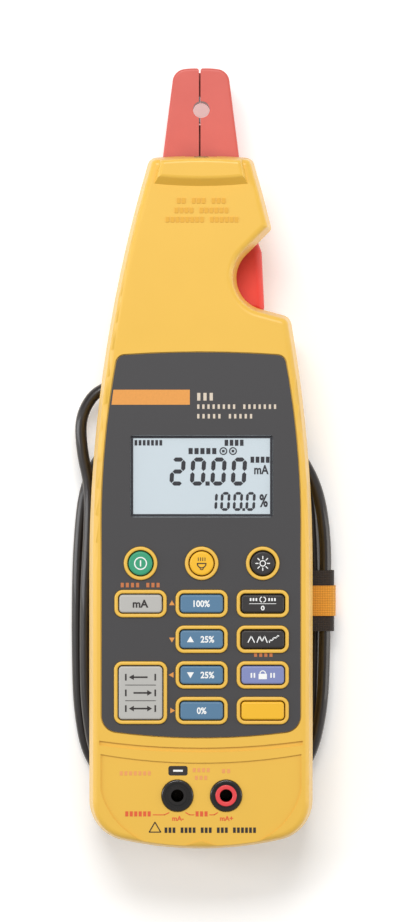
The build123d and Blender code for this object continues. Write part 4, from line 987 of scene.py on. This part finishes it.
# %% Coil springs behind the cells
def spring_tree(name, material):
    tree, given, sockets = new_tree(
        name, (("Turns", "Float"), ("Height", "Float"), ("Start Radius", "Float"),
               ("End Radius", "Float"), ("Wire", "Float"), ("Place", "Vector"),
               ("Turn", "Vector")),
    )
    helix = tree.nodes.new("GeometryNodeCurveSpiral")
    helix.inputs["Resolution"].default_value = 20
    wire = tree.nodes.new("GeometryNodeCurvePrimitiveCircle")
    wire.inputs["Resolution"].default_value = 8
    sweep = tree.nodes.new("GeometryNodeCurveToMesh")
    sweep.inputs["Fill Caps"].default_value = True
    settle = tree.nodes.new("GeometryNodeTransform")
    tree.links.new(given.outputs["Turns"], helix.inputs["Rotations"])
    for label in ("Start Radius", "End Radius", "Height"):
        tree.links.new(given.outputs[label], helix.inputs[label])
    tree.links.new(given.outputs["Wire"], wire.inputs["Radius"])
    tree.links.new(helix.outputs[0], sweep.inputs["Curve"])
    tree.links.new(wire.outputs[0], sweep.inputs["Profile Curve"])
    tree.links.new(sweep.outputs[0], settle.inputs["Geometry"])
    tree.links.new(given.outputs["Place"], settle.inputs["Translation"])
    tree.links.new(given.outputs["Turn"], settle.inputs["Rotation"])
    output_with_material(tree, settle.outputs[0], material)
    return tree, sockets


coil_tree, coil_sockets = spring_tree("battery_spring_tree", steel)
COIL_TURNS = 4.0
COIL_WIRE = 0.35 * MM
COIL_WIDE = 4.1 * MM            # radius at the wall
COIL_NARROW = 2.4 * MM          # radius at the cell
CELL_PITCH = 14.6
CELL_LENGTH = 50.5
CELLS_Y = -50.0
CELL_Z = (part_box("battery_cells")[0][2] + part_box("battery_cells")[1][2]) / 2
(_, low_end, _), (_, high_end, _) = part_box("battery_springs")
springs = []
for number in range(4):
    end = -1 if number % 2 else 1
    wall = high_end if end > 0 else low_end
    flat_end = (CELLS_Y + end * CELL_LENGTH / 2) * MM
    springs.append(grown(
        f"battery_coil_{number + 1}", coil_tree, coil_sockets,
        {
            "Turns": COIL_TURNS, "Height": abs(wall - flat_end) - 2 * COIL_WIRE,
            "Start Radius": COIL_WIDE,
            "End Radius": COIL_NARROW, "Wire": COIL_WIRE,
            "Place": (CELL_PITCH * (number - 1.5) * MM, wall - end * COIL_WIRE, CELL_Z),
            "Turn": (math.radians(90.0 * end), 0.0, 0.0),
        },
        "meter",
    ))
for spring in springs:
    spring.data.shade_smooth()
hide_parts("battery_springs")

# %% [markdown]
# The strain relief on the handpiece is a soft sleeve with rings moulded round it.  Each ring is
# a torus, set along the sleeve's axis and a little smaller than the last.

# %% Rings on the strain relief
RING_AROUND = 24                # faces round the sleeve
RING_ACROSS = 8                 # faces round one ring's own section
RING_HALF = 0.32                # half the thickness of a ring, in millimetres


def relief_rings(name, count):
    """Rings round the axis of the handpiece's strain relief, tapering towards the cable."""
    shape = bmesh.new()
    for i in range(count):
        t = i / (count - 1)
        x = -15.2 - 5.4 * t
        radius = 2.62 - 0.45 * t
        for a in range(RING_AROUND):
            for b in range(RING_ACROSS):
                corners = []
                for da, db in ((0, 0), (1, 0), (1, 1), (0, 1)):
                    u = 2 * math.pi * (a + da) / RING_AROUND
                    v = 2 * math.pi * (b + db) / RING_ACROSS
                    r = radius + RING_HALF * math.cos(v)
                    corners.append(shape.verts.new((
                        (x + RING_HALF * math.sin(v)) * MM,
                        (RELIEF_Y + r * math.cos(u)) * MM,
                        (HIGH + r * math.sin(u)) * MM,
                    )))
                shape.faces.new(corners)
    bmesh.ops.remove_doubles(shape, verts=shape.verts, dist=1e-6)
    bmesh.ops.recalc_face_normals(shape, faces=shape.faces)
    mesh = bpy.data.meshes.new(name)
    shape.to_mesh(mesh)
    shape.free()
    mesh.shade_smooth()
    mesh.materials.append(relief_black)
    piece = bpy.data.objects.new(name, mesh)
    bpy.context.collection.objects.link(piece)
    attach(piece, "handpiece")
    return piece


relief_rings("relief_rings", 5)

# %% [markdown]
# The floor is a plain pale sheet, a touch off white and matt, like a studio's paper.

# %% The floor's paper
paper, paper_tree, paper_shader = blank_material("paper")
here = place(paper_tree)
fibre = here.node("ShaderNodeTexNoise", Vector=here, Scale=35.0, Detail=2.0)
shade(
    paper_tree, paper_shader,
    Base_Color=mix(paper_tree, fibre, (0.985, 0.985, 0.985, 1.0), (1.0, 1.0, 1.0, 1.0)),
    Roughness=0.85 + fibre * 0.1, Emission_Color=(1.0, 1.0, 1.0, 1.0), Emission_Strength=0.14,
)
floor.data.materials.append(paper)

# %% Finish
bpy.context.view_layer.update()
